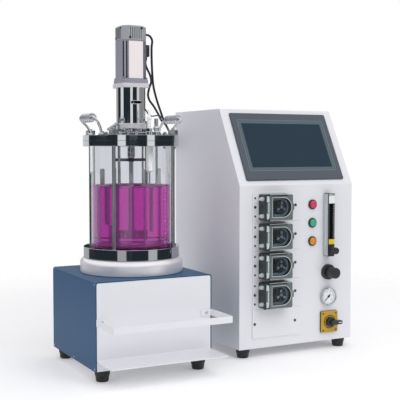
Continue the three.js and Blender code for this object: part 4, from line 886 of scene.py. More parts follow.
def studio():
    """A soft white room with a dark belt and upright strips, which shows in polished metal only."""
    world = bpy.data.worlds.new("studio")
    world.use_nodes = True
    tree = world.node_tree
    tree.nodes.clear()
    out = add_node(tree, "ShaderNodeOutputWorld")
    way = add_node(tree, "ShaderNodeTexCoord").outputs["Generated"]

    def maths(operation, *values):
        return add_node(tree, "ShaderNodeMath", dict(enumerate(values)), operation=operation).outputs[0]

    def along(direction):
        return add_node(tree, "ShaderNodeVectorMath", {0: way, 1: direction},
            operation="DOT_PRODUCT").outputs["Value"]

    across, towards = along(VIEW_RIGHT), maths("MULTIPLY", along(VIEW_AHEAD), -1.0)
    azimuth = maths("DEGREES", maths("ARCTAN2", across, towards))
    elevation = maths("DEGREES", maths("ARCSINE", along(Vector((0, 0, 1)))))

    def within(value, low, high, blur):
        rise = add_node(tree, "ShaderNodeMapRange", {0: value, 1: low - blur, 2: low + blur},
            interpolation_type="SMOOTHSTEP")
        fall = add_node(tree, "ShaderNodeMapRange", {0: value, 1: high + blur, 2: high - blur},
            interpolation_type="SMOOTHSTEP")
        return maths("MULTIPLY", rise.outputs[0], fall.outputs[0])

    belt = add_node(tree, "ShaderNodeCombineXYZ", {0: 0.023, 1: 0.033, 2: 0.04}).outputs[0]
    for left, right, low, high, bright in STRIPS:
        here = maths("MULTIPLY", within(azimuth, left, right, 1.5), within(elevation, low, high, 0.15))
        belt = add_node(
            tree, "ShaderNodeMix", {0: here, 6: belt, 7: (bright, bright, bright, 1)}, data_type="RGBA"
        ).outputs[2]
    ceiling = add_node(tree, "ShaderNodeMapRange", {0: elevation, 1: 9.0, 2: 17.0},
        interpolation_type="SMOOTHSTEP").outputs[0]
    ground = add_node(tree, "ShaderNodeMapRange", {0: elevation, 1: -12.0, 2: -18.0},
        interpolation_type="SMOOTHSTEP").outputs[0]
    for share, colour in ((ground, (0.5, 0.5, 0.5, 1)), (ceiling, (1, 1, 1, 1))):
        belt = add_node(tree, "ShaderNodeMix", {0: share, 6: belt, 7: colour}, data_type="RGBA").outputs[2]

    # Through the glass: white ahead and behind, grey at the sides, so that the vessel's edges draw dark.
    side = within(maths("ABSOLUTE", azimuth), 62, 118, 12.0)
    through = add_node(tree, "ShaderNodeMix", {0: side, 6: (0.66, 0.66, 0.72, 1), 7: (0.36, 0.36, 0.4, 1)},
        data_type="RGBA").outputs[2]
    soft = bpy.context.scene.bioreactor_stage.dome
    dome = add_node(
        tree,
        "ShaderNodeMix",
        {
            0: add_node(tree, "ShaderNodeMapRange", {0: elevation, 1: -5.0, 2: 60.0}).outputs[0],
            6: (0.8, 0.8, 0.82, 1),
            7: (1.25, 1.25, 1.25, 1),
        },
        data_type="RGBA",
    ).outputs[2]
    # More light from the left, a little cool, as from a tall window.
    left = add_node(tree, "ShaderNodeMapRange", {0: along(Vector((-1, 0, 0))), 1: 0.2, 2: 1.0}).outputs[0]
    dome = add_node(
        tree, "ShaderNodeMix", {0: left, 6: dome, 7: (1.6, 1.58, 1.72, 1)}, data_type="RGBA"
    ).outputs[2]
    ray = add_node(tree, "ShaderNodeLightPath").outputs
    sharp = maths("LESS_THAN", ray["Diffuse Depth"], 0.5)
    mirrored = maths("MULTIPLY", maths("GREATER_THAN", ray["Glossy Depth"], 0.5), sharp)
    light = add_node(tree, "ShaderNodeBackground", {"Color": dome, "Strength": soft})
    for share, colour in (
        (ray["Is Camera Ray"], (1, 1, 1, 1)),
        (maths("MULTIPLY", ray["Is Transmission Ray"], sharp), through),
        (mirrored, belt),
    ):
        seen = add_node(tree, "ShaderNodeBackground", {"Color": colour, "Strength": 1.0})
        light = add_node(tree, "ShaderNodeMixShader", {0: share, 1: light.outputs[0], 2: seen.outputs[0]})
    tree.links.new(light.outputs[0], out.inputs["Surface"])
    return world


def floor_finish(reach):
    """Seamless white paper, faded out towards its rim."""
    material, tree, out = new_material("white_paper_floor")
    place = add_node(tree, "ShaderNodeTexCoord").outputs["Object"]
    fibre = add_node(tree, "ShaderNodeTexNoise", {"Vector": place, "Scale": 400.0, "Detail": 3.0})
    tone = add_node(
        tree, "ShaderNodeMix", {0: fibre.outputs[0], 6: srgb("#f7f7f8"), 7: srgb("#fbfbfb")},
        data_type="RGBA"
    )
    paper = add_node(tree, "ShaderNodeBsdfPrincipled", {"Base Color": tone.outputs[2], "Roughness": 0.8,
        "Emission Strength": 0.15})
    bare = add_node(tree, "ShaderNodeBsdfTransparent")
    far = add_node(tree, "ShaderNodeVectorMath", {0: place}, operation="LENGTH").outputs["Value"]
    fade = add_node(
        tree, "ShaderNodeMapRange", {0: far, 1: reach * 0.45, 2: reach * 0.98},
        interpolation_type="SMOOTHSTEP"
    ).outputs[0]
    mix = add_node(tree, "ShaderNodeMixShader", {0: fade, 1: paper.outputs[0], 2: bare.outputs[0]})
    tree.links.new(mix.outputs[0], out.inputs["Surface"])
    return material


class BIOREACTOR_OT_stage(bpy.types.Operator):
    """Camera, soft studio light and a plain pale floor"""

    bl_idname = "bioreactor.stage"
    bl_label = "Stage"

    def execute(self, context):
        scene, stage = context.scene, context.scene.bioreactor_stage
        scene.view_settings.view_transform = "Standard"
        lens = bpy.data.cameras.new("camera")
        lens.lens, lens.sensor_width, lens.clip_end = stage.focal_length, 36.0, 50.0
        camera = bpy.data.objects.new("camera", lens)
        camera.location, camera.rotation_euler = CAMERA_AT, CAMERA_TURN
        scene.collection.objects.link(camera)
        scene.camera = camera
        make_materials(scene.bioreactor_colours)

        scene.world = studio()
        key = bpy.data.lights.new("key", "AREA")
        key.energy, key.shape, key.size, key.size_y = stage.key_power, "RECTANGLE", 2.0, 2.0
        lamp = bpy.data.objects.new("key", key)
        a, e = math.radians(35), math.radians(45)
        side = VIEW_RIGHT * math.sin(a) - VIEW_AHEAD * math.cos(a)
        lamp.location = Vector((0, 0, 0.3)) + side * math.cos(e) * 2.5 + Vector((0, 0, math.sin(e) * 2.5))
        lamp.rotation_euler = (lamp.location - Vector((0, 0, 0.3))).to_track_quat("Z", "Y").to_euler()
        lamp.visible_glossy = False
        scene.collection.objects.link(lamp)

        floor = mesh_of("floor", turned([(0, -0.4), (stage.floor_radius / MM, -0.4)], 128))
        floor.materials.append(floor_finish(stage.floor_radius))
        sheet = bpy.data.objects.new("floor", floor)
        scene.collection.objects.link(sheet)
        make_trees()
        return {"FINISHED"}


# ---------------- leads

GLAND_END = (244.3, 500.0)
LEADS = {
    "motor_encoder_cable": (2.5, 95, [
        (-164.4, -13, 735.5), (-159, -13.2, 735), (-153.5, -14, 731), (-150.5, -15.5, 723),
    (-152.5, -17, 709),
        (-152.5, -17, 680), (-150.5, -16, 647), (-146, -11.5, 623), (-131.5, 3.5, 595), (-112.5, 25, 571.5),
        (-96.5, 44, 554), (-81.5, 61, 540.5), (-64, 84.5, 529.5), (-44.5, 114, 518.5), (-22, 152.5, 505.5),
        (-1, 192.5, 497), (17, 230, 491), (30, 256, 487), (50, 276, 485), (73, 281, 487), (90, 268, 494),
        (95, 255, 499),
    ]),
    "motor_power_cable": (2.5, 125, [
        (-166.2, -13, 676.7), (-165.6, -13.5, 669), (-162.5, -17, 658), (-158.5, -22, 645),
    (-157, -24, 632),
        (-160, -19, 616), (-159, -11, 603), (-149.5, 1.5, 591), (-135, 12, 579.5), (-117, 28, 564),
    (-95, 56, 549),
        (-75, 78, 541), (-59.5, 99, 533), (-42.5, 124, 524.5), (-22, 158.5, 515.5), (-1.5, 198, 506.5),
        (17, 236, 500), (30, 264, 495), (53, 292, 491), (86, 302, 490), (112, 289, 493), (124, 266, 499),
    ]),
    "probe_lead": (1.5, 150, [
        (-153.7, 31.1, 559.7), (-153.5, 31.2, 566), (-151, 32.2, 571.5), (-146.5, 34, 573),
    (-142, 36.5, 569.5),
        (-135, 40, 561.5), (-123, 46.5, 558), (-104.5, 57, 560), (-88.5, 69, 557), (-73, 88, 547.5),
        (-54.5, 113, 539), (-35, 142.5, 531), (-14.5, 177, 522), (4, 212, 515), (20, 246.5, 509.5),
    (36, 276, 505),
        (63, 308, 499), (102, 318, 495), (136, 301, 495), (149, 272, 499),
    ]),
}


class BIOREACTOR_OT_leads(bpy.types.Operator):
    """The motor's two cables and the temperature probe's lead, to their glands on the cabinet"""

    bl_idname = "bioreactor.leads"
    bl_label = "Leads"

    def execute(self, context):
        for name, (radius, gland, points) in LEADS.items():
            route = smooth_route([*points, (gland, *GLAND_END)], 12)
            lead = show(name + "_jacket", piped(name, route, radius, 20), ["cable"], replaces=[name])
        return {"FINISHED"}


# ---------------- stand

STAND = node_box("stand_cover")
STAND_MID = (STAND[0].x + STAND[1].x) / 2


# Where the cover's sunk side screws are: back from the front edge, and up.
COVER_SCREWS = ((9, STAND[1].z - 6), (270, STAND[1].z - 6), (9, STAND[0].z + 5), (137, STAND[0].z + 5),
    (270, STAND[0].z + 5))


def sheet_copy(node, material, slot, name=None):
    """A folded sheet from the construction model with its cut edges rounded by the coat on them."""
    piece = show(name or node + "_sheet", copy_of(node, node), [material], slot=slot, replaces=[node])
    return soften(piece, sizes().sheet_edge / MM)


def feet(name, points, height):
    """Turned rubber feet, each with a ribbed waist and a screw hole under it."""
    profile = [(0, 1.2), (3.2, 1.2), (3.4, 0), (12, 0), (13, 0.8), (14.2, height * 0.3),
        (14.0, height * 0.34),
               (15.2, height * 0.55), (16, height * 0.62), (16, height - 0.8), (15.4, height), (0, height)]
    return copies(name, turned(profile, 48), points, material="rubber")


class BIOREACTOR_OT_stand(bpy.types.Operator):
    """The stand's folded sheets, bottle shelf, rail, screws and feet"""

    bl_idname = "bioreactor.stand"
    bl_label = "Stand"

    def execute(self, context):
        sinks = copies("sinks", rod(2.6, -2.6, 1, 20), [(x, STAND[0].y + y, z) for y,
            z in COVER_SCREWS for x in (STAND[0].x, STAND[1].x)],
                       [(0, 90, 0)] * (2 * len(COVER_SCREWS)))
        cover = carved("stand_cover_sheet", copy_of("stand_cover", "cover"), sinks)
        soften(show("stand_cover_sheet", cover, ["blue_coat"],
            replaces=["stand_cover"]), sizes().sheet_edge / MM)
        sheet_copy("stand_front_panel", "white_coat", "white_enamel")
        low, high = node_box("stand_chassis")
        inside = (high.x - low.x) / 2
        under = STAND[0].z
        line = [(low.y, under + 20.7), (low.y, under), (high.y, under), (high.y, high.z)]
        pan = moved(prism(folded(line), -inside, inside), at(STAND_MID), ALONG_X)
        piece = show("stand_pan", mesh_of("stand_pan", pan), ["white_coat"], replaces=["stand_chassis"])
        soften(piece, sizes().sheet_edge / MM)
        spots = [(STAND_MID + s * 112, y, 0) for s in (-1, 1) for y in (low.y + 22, high.y - 22)]
        show("stand_feet", feet("stand_feet", spots, under), ["rubber"], replaces=["stand_chassis"])

        rail = show("rail_bar", copy_of("bottle_rail", "rail_bar"), ["white_coat"],
            replaces=["bottle_rail"])
        soften(rail, sizes().sheet_edge / MM)
        front, rail_z = STAND[0].y, middle("bottle_rail").z
        tabs = [(STAND_MID + s * 121, front - 2.3, rail_z) for s in (-1, 1)]
        show("rail_screws", fixed(tabs, 3.6, 1.6, name="rail_screws"), ["bright_steel"])
        spots = [(x, front + y, z) for y, z in COVER_SCREWS for x in (STAND[0].x, STAND[1].x)]
        heads = copies("cover_screws", rod(2.1, -0.8, -0.1, 20, 0.2), spots,
            [(0, -90, 0), (0, 90, 0)] * len(COVER_SCREWS))
        show("cover_screws", heads, ["bright_steel"])
        return {"FINISHED"}


# ---------------- vessel


class BIOREACTOR_OT_base(bpy.types.Operator):
    """The heater block, and the polished seat with its tie rods, washers and nuts"""

    bl_idname = "bioreactor.base"
    bl_label = "Heater and seat"

    def execute(self, context):
        here = at(AXIS.x, AXIS.y)
        r, low, top = HEATER_RADIUS, HEATER[0].z, HEATER[1].z
        block = [(0, low), (r - 3, low), (r - 0.8, low + 0.5), (r, low + 2.5),
            *arc(r - 13, top - 13, 13, 0, 90, 16), (0, top)]
        heater = mesh_of("heater", moved(turned(block, 128), here))
        show("heater", heater, ["turned_aluminium"], replaces=["heater_block"])

        seat, low = RIM_RADIUS, SEAT[0].z
        cup = GLASS_RADIUS + GAP
        dish = [(0, low), (seat - 0.4, low), (seat, low + 0.4), (seat, SEAT_TOP - 0.4),
            (seat - 0.4, SEAT_TOP), (cup + 0.6, SEAT_TOP), (cup, SEAT_TOP - 0.6), (cup, low + 12),
            (0, low + 12)]
        dish_mesh = mesh_of("seat_dish", moved(turned(dish, 128), here))
        show("seat_dish", dish_mesh, ["mirror_steel"], replaces=["vessel_seat"])

        washer = LID + GAP
        stud = [rod(4, SEAT_TOP - 12, washer + 15, 24, 0.8), rod(5.2, SEAT_TOP, SEAT_TOP + 1.6, 24, 0.4)]
        nut = [rod(12.5, washer, washer + 2, 48, 0.5), moved(hexagon(19, washer + 2, washer + 12, 1.6),
            spin(12))]
        angles = (45, 135, 225, 315)
        places, turns = [polar(a, TIE_CIRCLE) for a in angles], [(0, 0, a) for a in angles]
        nuts = indexed(copies("nuts", nut, places, turns, "passivated_steel_and_painted_shade"), 1)
        rods = joined("tie_rods", copies("tie_rods", stud, places, turns, "mirror_steel"), nuts)
        show("tie_rods", rods, ["mirror_steel", "passivated_steel_and_painted_shade"], replaces=["vessel_seat"])
        return {"FINISHED"}


class BIOREACTOR_OT_glass(bpy.types.Operator):
    """The glass cup with its printed scale"""

    bl_idname = "bioreactor.glass"
    bl_label = "Glass vessel"

    def execute(self, context):
        here = at(AXIS.x, AXIS.y)
        r, low, top = GLASS_RADIUS, GLASS[0].z, GLASS[1].z
        inner = r - WALL
        cup = [(0, low), *arc(r - 4, low + 4, 4, -90, 0, 6), (r, top - 0.8), (r - 0.8, top),
            (inner + 0.8, top), (inner, top - 0.8),
               *arc(inner - FLOOR_CORNER, FLOOR + FLOOR_CORNER, FLOOR_CORNER, 0, -90, 8), (0, FLOOR)]
        glass = mesh_of("glass_cup", moved(turned(cup, 160), here), sharp=30)
        show("glass_cup", glass, ["glass"], replaces=["glass_vessel"])

        marks = []
        for long in (True, False):
            width = math.degrees((5.0 if long else 2.6) / r) / 2
            strip = [(r + 0.02, -0.35), (r + 0.14, -0.35), (r + 0.14, 0.35), (r + 0.02, 0.35),
                (r + 0.02, -0.35)]
            tick = moved(turned(strip, 6, -60 - width, -60 + width), spin(0 if long else width * 0.8))
            spots = [(*AXIS, FLOOR + 14 + 9.2 * i) for i in range(21) if (i % 5 == 0) == long]
            marks.append(copies("scale_marks", tick, spots, material="white_ink"))
        show("glass_scale", joined("glass_scale", *marks), ["white_ink"])
        return {"FINISHED"}


MEDIUM_GAP = 0.05


class BIOREACTOR_OT_medium(bpy.types.Operator):
    """The culture medium, with the meniscus it draws up the glass"""

    bl_idname = "bioreactor.medium"
    bl_label = "Culture medium"

    def execute(self, context):
        level = sizes().medium_level / MM
        inner = GLASS_RADIUS - WALL - MEDIUM_GAP
        corner = FLOOR_CORNER - 0.2
        rise = [(inner, level + 1.6), (inner - 0.25, level + 1.1), (inner - 0.8, level + 0.5),
            (inner - 2.0, level + 0.1), (inner - 4, level)]
        fill = [(0, FLOOR + 0.05), *arc(inner - corner, FLOOR + 0.05 + corner, corner, -90, 0, 8), *rise,
            (0, level)]
        body = mesh_of("medium", moved(turned(fill, 160), at(AXIS.x, AXIS.y)), sharp=40)
        show("medium", body, ["medium"])
        return {"FINISHED"}


PORTS = {"foam": (288, 60, 4), "ph": (100, 57, 6), "temperature": (42.7, 65, 2.5),
    "sample": (304.7, 65, 2.5), "air": (214, 48, 3)}


class BIOREACTOR_OT_lid(bpy.types.Operator):
    """The lid plate with its ports, exhaust and screws, and the ring round the glass's neck"""

    bl_idname = "bioreactor.lid"
    bl_label = "Lid"

    def execute(self, context):
        here = at(AXIS.x, AXIS.y)
        r, low = RIM_RADIUS, NECK[0].z
        inner = GLASS_RADIUS + GAP
        collar = [(inner, low + 0.5), (inner + 0.5, low), (r - 0.4, low), (r, low + 0.4),
            (r, NECK[1].z - 0.4), (r - 0.4, NECK[1].z),
                  (inner + 0.5, NECK[1].z), (inner, NECK[1].z - 0.5), (inner, low + 0.5)]
        ring = carved("neck_collar", moved(turned(collar, 128), here),
                      *[moved(rod(4.3, low - 2, NECK[1].z + 2, 24),
            at(*polar(a, TIE_CIRCLE).to_2d())) for a in (45, 135, 225, 315)])
        show("neck_collar", ring, ["mirror_steel"], replaces=["neck_ring"])

        plate = [(0, LID_LOW), (r - 0.4, LID_LOW), (r, LID_LOW + 0.4), (r, LID - 0.4), (r - 0.4, LID),
            (0, LID)]
        holes = [moved(rod(stem + 0.4, LID_LOW - 2, LID + 3, 24), at(*polar(angle, far).to_2d())) for angle,
            far, stem in PORTS.values()]
        holes += [moved(rod(4.3, LID_LOW - 2, LID + 3, 24), at(*polar(a, TIE_CIRCLE).to_2d())) for a in (45,
            135, 225, 315)]
        holes.append(moved(rod(5.6, LID_LOW - 2, LID + 3, 32), here))
        holes.append(moved(rod(2.8, LID_LOW - 2, LID + 3, 24), at(*polar(24, 50).to_2d())))
        disc = carved("lid_disc", moved(turned(plate, 128), here), *holes)
        bosses = []
        for angle, far, stem in PORTS.values():
            w, h = stem + 5, 8.0
            profile = [(stem + 0.4, LID - 0.2), (w + 1.2, LID - 0.2), (w + 0.3, LID + 0.5), (w, LID + 1.4),
                (w, LID + h - 1),
                       (w - 1, LID + h), (stem + 0.4, LID + h), (stem + 0.4, LID - 0.2)]
            bosses.append(moved(turned(profile, 48), at(*polar(angle, far).to_2d())))
        vent = [(2.8, LID - 0.2), (7.5, LID - 0.2), (7.5, LID + 5.4), (6.9, LID + 6), (4.6, LID + 6.6),
            (4, LID + 8), (4, LID + 24),
                (4.5, LID + 24.4), (4.5, LID + 25.6), (4, LID + 26), (4, LID + 33.4), (3.6, LID + 34),
            (2.8, LID + 34), (2.8, LID - 0.2)]
        bosses.append(moved(turned(vent, 32), at(*polar(24, 50).to_2d())))
        made = joined("lid_disc", disc, mesh_of("bosses", *bosses))
        show("lid_disc", made, ["mirror_steel"], replaces=["lid_plate"])

        caps = [moved(hexagon(11, LID, LID + 6, 1.0), spin(20)), rod(3.4, LID + 5, LID + 9, 24, 0.6)]
        spots = [polar(a, d) for a, d in ((70, 84), (160, 62), (185, 70), (240, 72), (262, 50), (330, 62),
            (350, 78), (130, 62))]
        plugs = copies("lid_plugs", caps, spots, [(0, 0, 17 * i) for i in range(len(spots))],
            "bright_steel")
        show("lid_plugs", plugs, ["bright_steel"])
        return {"FINISHED"}


class BIOREACTOR_OT_handles(bpy.types.Operator):
    """The two bent-wire lifting handles, each with an open coil round its grip"""

    bl_idname = "bioreactor.handles"
    bl_label = "Lifting handles"

    def execute(self, context):
        foot0 = LID + GAP
        grip, foot_x, grip_x = foot0 + 37, RIM_RADIUS - 23, RIM_RADIUS - 4.5
        small = sizes()
        for name, side in (("lid_handle_right", 1), ("lid_handle_left", -1)):
            turn = at(AXIS.x, AXIS.y) @ spin(0 if side > 0 else 180)

            def leg(y):
                return [(foot_x, y * 33, foot0), (foot_x + 0.5, y * 33.5, foot0 + 8),
                    (foot_x + 6, y * 38, foot0 + 20),
                        (grip_x - 4, y * 44, grip - 7), (grip_x, y * 40, grip - 0.5),
                    (grip_x, y * 29, grip)]

            bow = piped("bow", smooth_route([*leg(-1), *leg(1)[::-1]], 10), 3.0, 20, turn)
            pads = []
            for y in (-33, 33):
                foot = [(0, foot0), (6.5, foot0), (6.5, foot0 + 2.4), (6.0, foot0 + 3), (4.4, foot0 + 4),
                    (4, foot0 + 5.4), (0, foot0 + 5.4)]
                pads.append(moved(turned(foot, 32), turn, at(foot_x, y)))
            collars = [moved(rod(4.6, -1.6, 1.6, 32, 0.5), turn, at(grip_x, y, grip),
                spin(90, "X")) for y in (-31, 31)]
            wire = joined(name, bow, mesh_of(name, *pads, *collars))
            centre = (turn @ Vector((grip_x, 0, grip)))
            coil = grown(
                name + "_coil",
                "wound_coil",
                [centre],
                Turns=float(small.coil_turns),
                Radius=8.4 * MM,
                Length=60 * MM,
                Wire=small.coil_wire,
                Material=MATERIALS["bright_steel"],
            )
            made = joined(name + "_wire", indexed(wire, 0), indexed(coil, 0), sharp=50)
            show(name + "_wire", made, ["mirror_steel"], replaces=[name])
        return {"FINISHED"}


class BIOREACTOR_OT_housing(bpy.types.Operator):
    """The bearing housing between the lid and the motor, with its window, bolts and adapter plate"""

    bl_idname = "bioreactor.housing"
    bl_label = "Bearing housing"

    def execute(self, context):
        here = at(AXIS.x, AXIS.y)
        z = HOUSING
        top = z + 105
        profile = [(5.6, z), (37.4, z), (38, z + 0.6), (38, z + 6.2), (37.2, z + 7), (25, z + 7),
            (24, z + 8), (24, z + 13.5), (24.8, z + 14.5),
                   (33.4, z + 14.5), (34, z + 15.1), (34, z + 24.7), (33.2, z + 25.5), (32.4, z + 25.7),
            (32, z + 26.3), (32, top),
                   (27, top), (27, z + 20.5), (5.6, z + 20.5), (5.6, z)]
        slot = moved(prism(rounded(24, 5, 2.4, 8), 20, 36), here, at(0, 0, z + 72), PANEL)
        tube = carved("tube", moved(turned(profile, 96), here), slot)
        lip = moved(stacked([(27, 8, 3.9, 31.2, 0), (27, 8, 3.9, 32.3, 0), (25.4, 6.4, 3.1, 32.6, 0)], 8),
            here, at(0, 0, z + 72), PANEL)
        frame_mesh = carved("window_lip", lip, slot)
        plate = moved(stacked([(61.6, 61.6, 3.4, top - 0.5, 0), (63, 63, 4, top + 0.2, 0),
            (63, 63, 4, top + 8.3, 0), (61.6, 61.6, 3.4, top + 9, 0)]), here)
        adapter = carved("adapter", plate, moved(rod(12, top - 2, top + 11, 48), here))
        bolts = copies("bolts", [moved(hexagon(7.4, z + 6.9, z + 11, 0.6), spin(15)),
            rod(5, z + 6.9, z + 7.5, 24, 0.2)],
                       [polar(60 * i + 30, 31) for i in range(6)])
        band = [(33.5, z + 15.2), (34.1, z + 15.4), (34.1, z + 24.4), (33.5, z + 24.6), (33.5, z + 15.2)]
        collar = mesh_of("collar", (moved(turned(band, 96), here), 1))
        made = joined("housing_tube", tube, frame_mesh, indexed(adapter, 1), indexed(bolts, 0), collar)
        show("housing_tube", made, ["mirror_steel", "turned_aluminium"], replaces=["bearing_housing"])
        return {"FINISHED"}


def square(size, corner):
    h, c = size / 2, size / 2 - corner
    return [(h, -c), (h, c), (c, h), (-c, h), (-h, c), (-h, -c), (-c, -h), (c, -h)]


class BIOREACTOR_OT_motor(bpy.types.Operator):
    """The drive motor with its blank label, die-cast rear cap, grommet and plug"""

    bl_idname = "bioreactor.motor"
    bl_label = "Motor"

    def execute(self, context):
        here = at(AXIS.x, AXIS.y)
        z0 = MOTOR
        z1, z2 = z0 + 8, z0 + 93
        flange = moved(prism(square(60, 4), z0, z1 + 0.3, 0.7, 0.7), here)
        body = moved(prism(square(59, MOTOR_CORNER), z1 + 0.2, z2, 0.5, 0.3), here)
        # Grooves of the extrusion down each cut corner, their cut walls black as painted shade, and the
        # screws sunk in the flange's corners.
        side = 59 / 2 - MOTOR_CORNER / 2
        grooves = []
        for k in range(4):
            turn = here @ spin(45 + 90 * k)
            far = side * math.sqrt(2)
            for y in (-MOTOR_CORNER * 0.32, MOTOR_CORNER * 0.32):
                grooves.append((moved(block(far - 1.2, far + 3, y - 1.6, y + 1.6, z1 + 3, z2 - 2), turn),
                    3))
        shell = carved("motor_shell", body, *grooves)
        heads = copies("motor_screws", [rod(3.4, z1, z1 + 5, 24, 0.5), rod(1.8, z1 + 4.9, z1 + 5.1, 6)],
                       [(AXIS.x + sx * 25.2, AXIS.y + sy * 25.2, 0) for sx in (-1, 1) for sy in (-1, 1)])
        indexed(heads, 2)
        # The label wraps the front face; it is left blank.
        label = moved(stacked([(33, 80, 1.5, 29.5, 0), (33, 80, 1.5, 29.62, 0)]), here,
            at(0, 0, (z1 + z2) / 2), PANEL)
        made = joined("motor_shell", mesh_of("flange", flange), shell, heads, mesh_of("label", (label, 1)))
        show("motor_shell", made, ["motor_shell", "label", "bright_steel", "black_screws_and_painted_groove_shade"],
            replaces=["motor_body"])

        z3 = z2 + GAP
        top = z2 + 32
        cap = [moved(prism(square(59, MOTOR_CORNER), z3, top - 2.2, 0.3, 0.3), here),
            moved(prism(square(55, MOTOR_CORNER - 0.6), top - 2.5, top, 1.4), here)]
        rib = [block(x - 0.6, x + 0.6, -29.95, -29.3, z3 + 3, top - 4, 0.2) for x in (-12.5, -7.5, -2.5,
            2.5, 7.5, 12.5)]
        ribs = copies("ribs", rib, [(*AXIS, 0)] * 4, [(0, 0, 90 * k) for k in range(4)], "cast_cap")
        points = []
        for k in range(4):
            for x, z in ((-13.5, z3 + 5), (13.5, top - 6)):
                points.append(((here @ spin(90 * k) @ Vector((x, -29.5, z))), (90, 0, 90 * k)))
        caps = copies("cap_screws", screw(2.8, 1.0, 0.8), [p for p, _ in points], [t for _, t in points])
        indexed(caps, 1)
        grommet = [(0, 0), (6.5, 0), (6.5, 1), (5.8, 1.4), (5.8, 2), (6.3, 2.4), (6.3, 3.6), (5.0, 4.2),
            (4.4, 6.4), (3.6, 7.5), (0, 7.5)]
        boot = moved(turned(grommet, 32), here, at(29, 0, top - 15.5), spin(90, "Y"))
        made = joined("motor_cap", mesh_of("cap", *cap, (boot, 2)), ribs, caps)
        show("motor_cap", made, ["cast_cap", "black_screws_and_painted_groove_shade", "rubber"], replaces=["motor_rear_cap"])

        low, high = node_box("motor_connector")
        x0, x1, y0, y1 = low.x, high.x, low.y, high.y
        bottom = high.z - 26
        shell = [block(x0, x1, y0, y1, bottom, high.z, 1.4),
            block(x0 + 1.2, x1 - 1.2, y0 - 0.0, y1 + 0.0, bottom + 8, bottom + 9, 0.2),
                 block(x0 + 2, x1 + 0.0, y0 + 5, y1 - 5, bottom + 2, high.z - 2, 1.0)]
        mid = (x0 + x1) / 2
        gland = [(0, low.z), (3.2, low.z), (3.5, low.z + 3), (4, low.z + 4), (4.2, low.z + 5),
            (4.2, bottom + 0.5), (0, bottom + 0.5)]
        shell.append(moved(turned(gland, 24), at(mid, AXIS.y)))
        plug = show("motor_plug", mesh_of("motor_plug", *shell), ["black_abs"],
            replaces=["motor_connector"])
        soften(plug, 0.4)
        return {"FINISHED"}


class BIOREACTOR_OT_stirrer(bpy.types.Operator):
    """The stirrer shaft with its coupling, the impeller and the foam breaker"""

    bl_idname = "bioreactor.stirrer"
    bl_label = "Stirrer"

    def execute(self, context):
        here = at(AXIS.x, AXIS.y)
        low, high = node_box("stirrer_shaft")
        z, top = low.z, high.z
        c = top - 52
        profile = [(0, z), (4, z), (5, z + 1), (5, c), (12.4, c), (13, c + 0.6), (13, c + 18),
            (12.2, c + 18.6), (12.2, c + 20.4), (13, c + 21),
                   (13, c + 31), (12.2, c + 31.6), (12.2, c + 33.4), (13, c + 34), (13, top - 0.6),
            (12.4, top), (0, top)]
        shaft = mesh_of("shaft", moved(turned(profile, 48), here))
        show("shaft", shaft, ["mirror_steel"], body="stirrer", replaces=["stirrer_shaft"])

        low, high = node_box("impeller")
        mid = (low.z + high.z) / 2
        hub = [(5.3, mid - 8), (8.4, mid - 8), (9, mid - 7.4), (9, mid - 1.2), (9.8, mid - 1),
            (20, mid - 1), (20, mid + 1), (9.8, mid + 1), (9, mid + 1.2), (9, mid + 7.4),
            (8.4, mid + 8), (5.3, mid + 8), (5.3, mid - 8)]
        wheel = mesh_of("wheel", moved(turned(hub, 64), here))
        blade = [moved(prism(rounded(15, 14, 1.0, 4), -0.9, 0.9, 0.25, 0.25), at(20.5, 0, mid),
            spin(90, "X")), moved(rod(1.4, 9, 10.4, 12, 0.3), at(0, 0, mid + 4.5), spin(90, "Y"))]
        blades = copies("blades", blade, [(AXIS.x, AXIS.y, 0)] * 6, [(0, 0, 60 * i) for i in range(6)])
        made = joined("turbine", wheel, indexed(blades, 0))
        # Painted shade: the passivated steel's darker grey makes the turbine read dark inside the glass.
        show("turbine", made, ["passivated_steel_and_painted_shade"], body="stirrer", replaces=["impeller"])

        low, high = node_box("foam_breaker")
        hub = [(5.3, low.z), (6.5, low.z), (7, low.z + 0.5), (7, high.z - 0.5), (6.5, high.z),
            (5.3, high.z), (5.3, low.z)]
        arms = [moved(prism(rounded(36.5, 6.5, 1.2, 4), -1, 1, 0.3, 0.3), here,
            at(s * 24.75, 0, (low.z + high.z) / 2), spin(90, "X")) for s in (-1, 1)]
        grub = moved(screw(1.6, 0.6), here, at(0, -7, (low.z + high.z) / 2), PANEL)
        paddle = mesh_of("paddle", moved(turned(hub, 48), here), *arms, grub)
        # The foam breaker is drawn in dark steel: painted shade for a steel part inside the vessel.
        show("paddle", paddle, ["dark_steel_and_painted_shade"], body="stirrer", replaces=["foam_breaker"])
        return {"FINISHED"}


class BIOREACTOR_OT_seal(bpy.types.Operator):
    """The shaft seal under the lid, with its stack of spring cups"""

    bl_idname = "bioreactor.seal"
    bl_label = "Shaft seal"

    def execute(self, context):
        low, high = node_box("shaft_seal")
        here = at(AXIS.x, AXIS.y)
        top, bottom = high.z, low.z
        cups, tops = [], [top - 5 - i * 10.6 for i in range(3)]
        for z in tops:
            cups += [(8.2, z), (8.6, z - 0.4), (8.6, z - 6.0), (8.2, z - 6.4), (7.2, z - 6.8),
                (7.2, z - 10.2)]
        stack = [(5.6, top), (21.5, top), (22, top - 0.5), (22, top - 4.4), (21.4, top - 5), *cups,
            (7.2, bottom), (5.6, bottom), (5.6, top)]
        coils = copies("springs", loop(8.1, 0, 0.55, 40), [(*AXIS, z - drop) for z in tops for drop in (7.7,
            9.2)])
        bolts = copies("seal_bolts", hexagon(6, top - 7, top - 4.8, 0.4),
            [polar(45 + 90 * i, 16) for i in range(4)])
        made = joined("seal_stack", mesh_of("stack", moved(turned(stack, 64), here)), coils, bolts)
        # Painted shade: the passivated steel's darker grey makes the seal read dark inside the glass.
        show("seal_stack", made, ["passivated_steel_and_painted_shade"], replaces=["shaft_seal"])
        return {"FINISHED"}


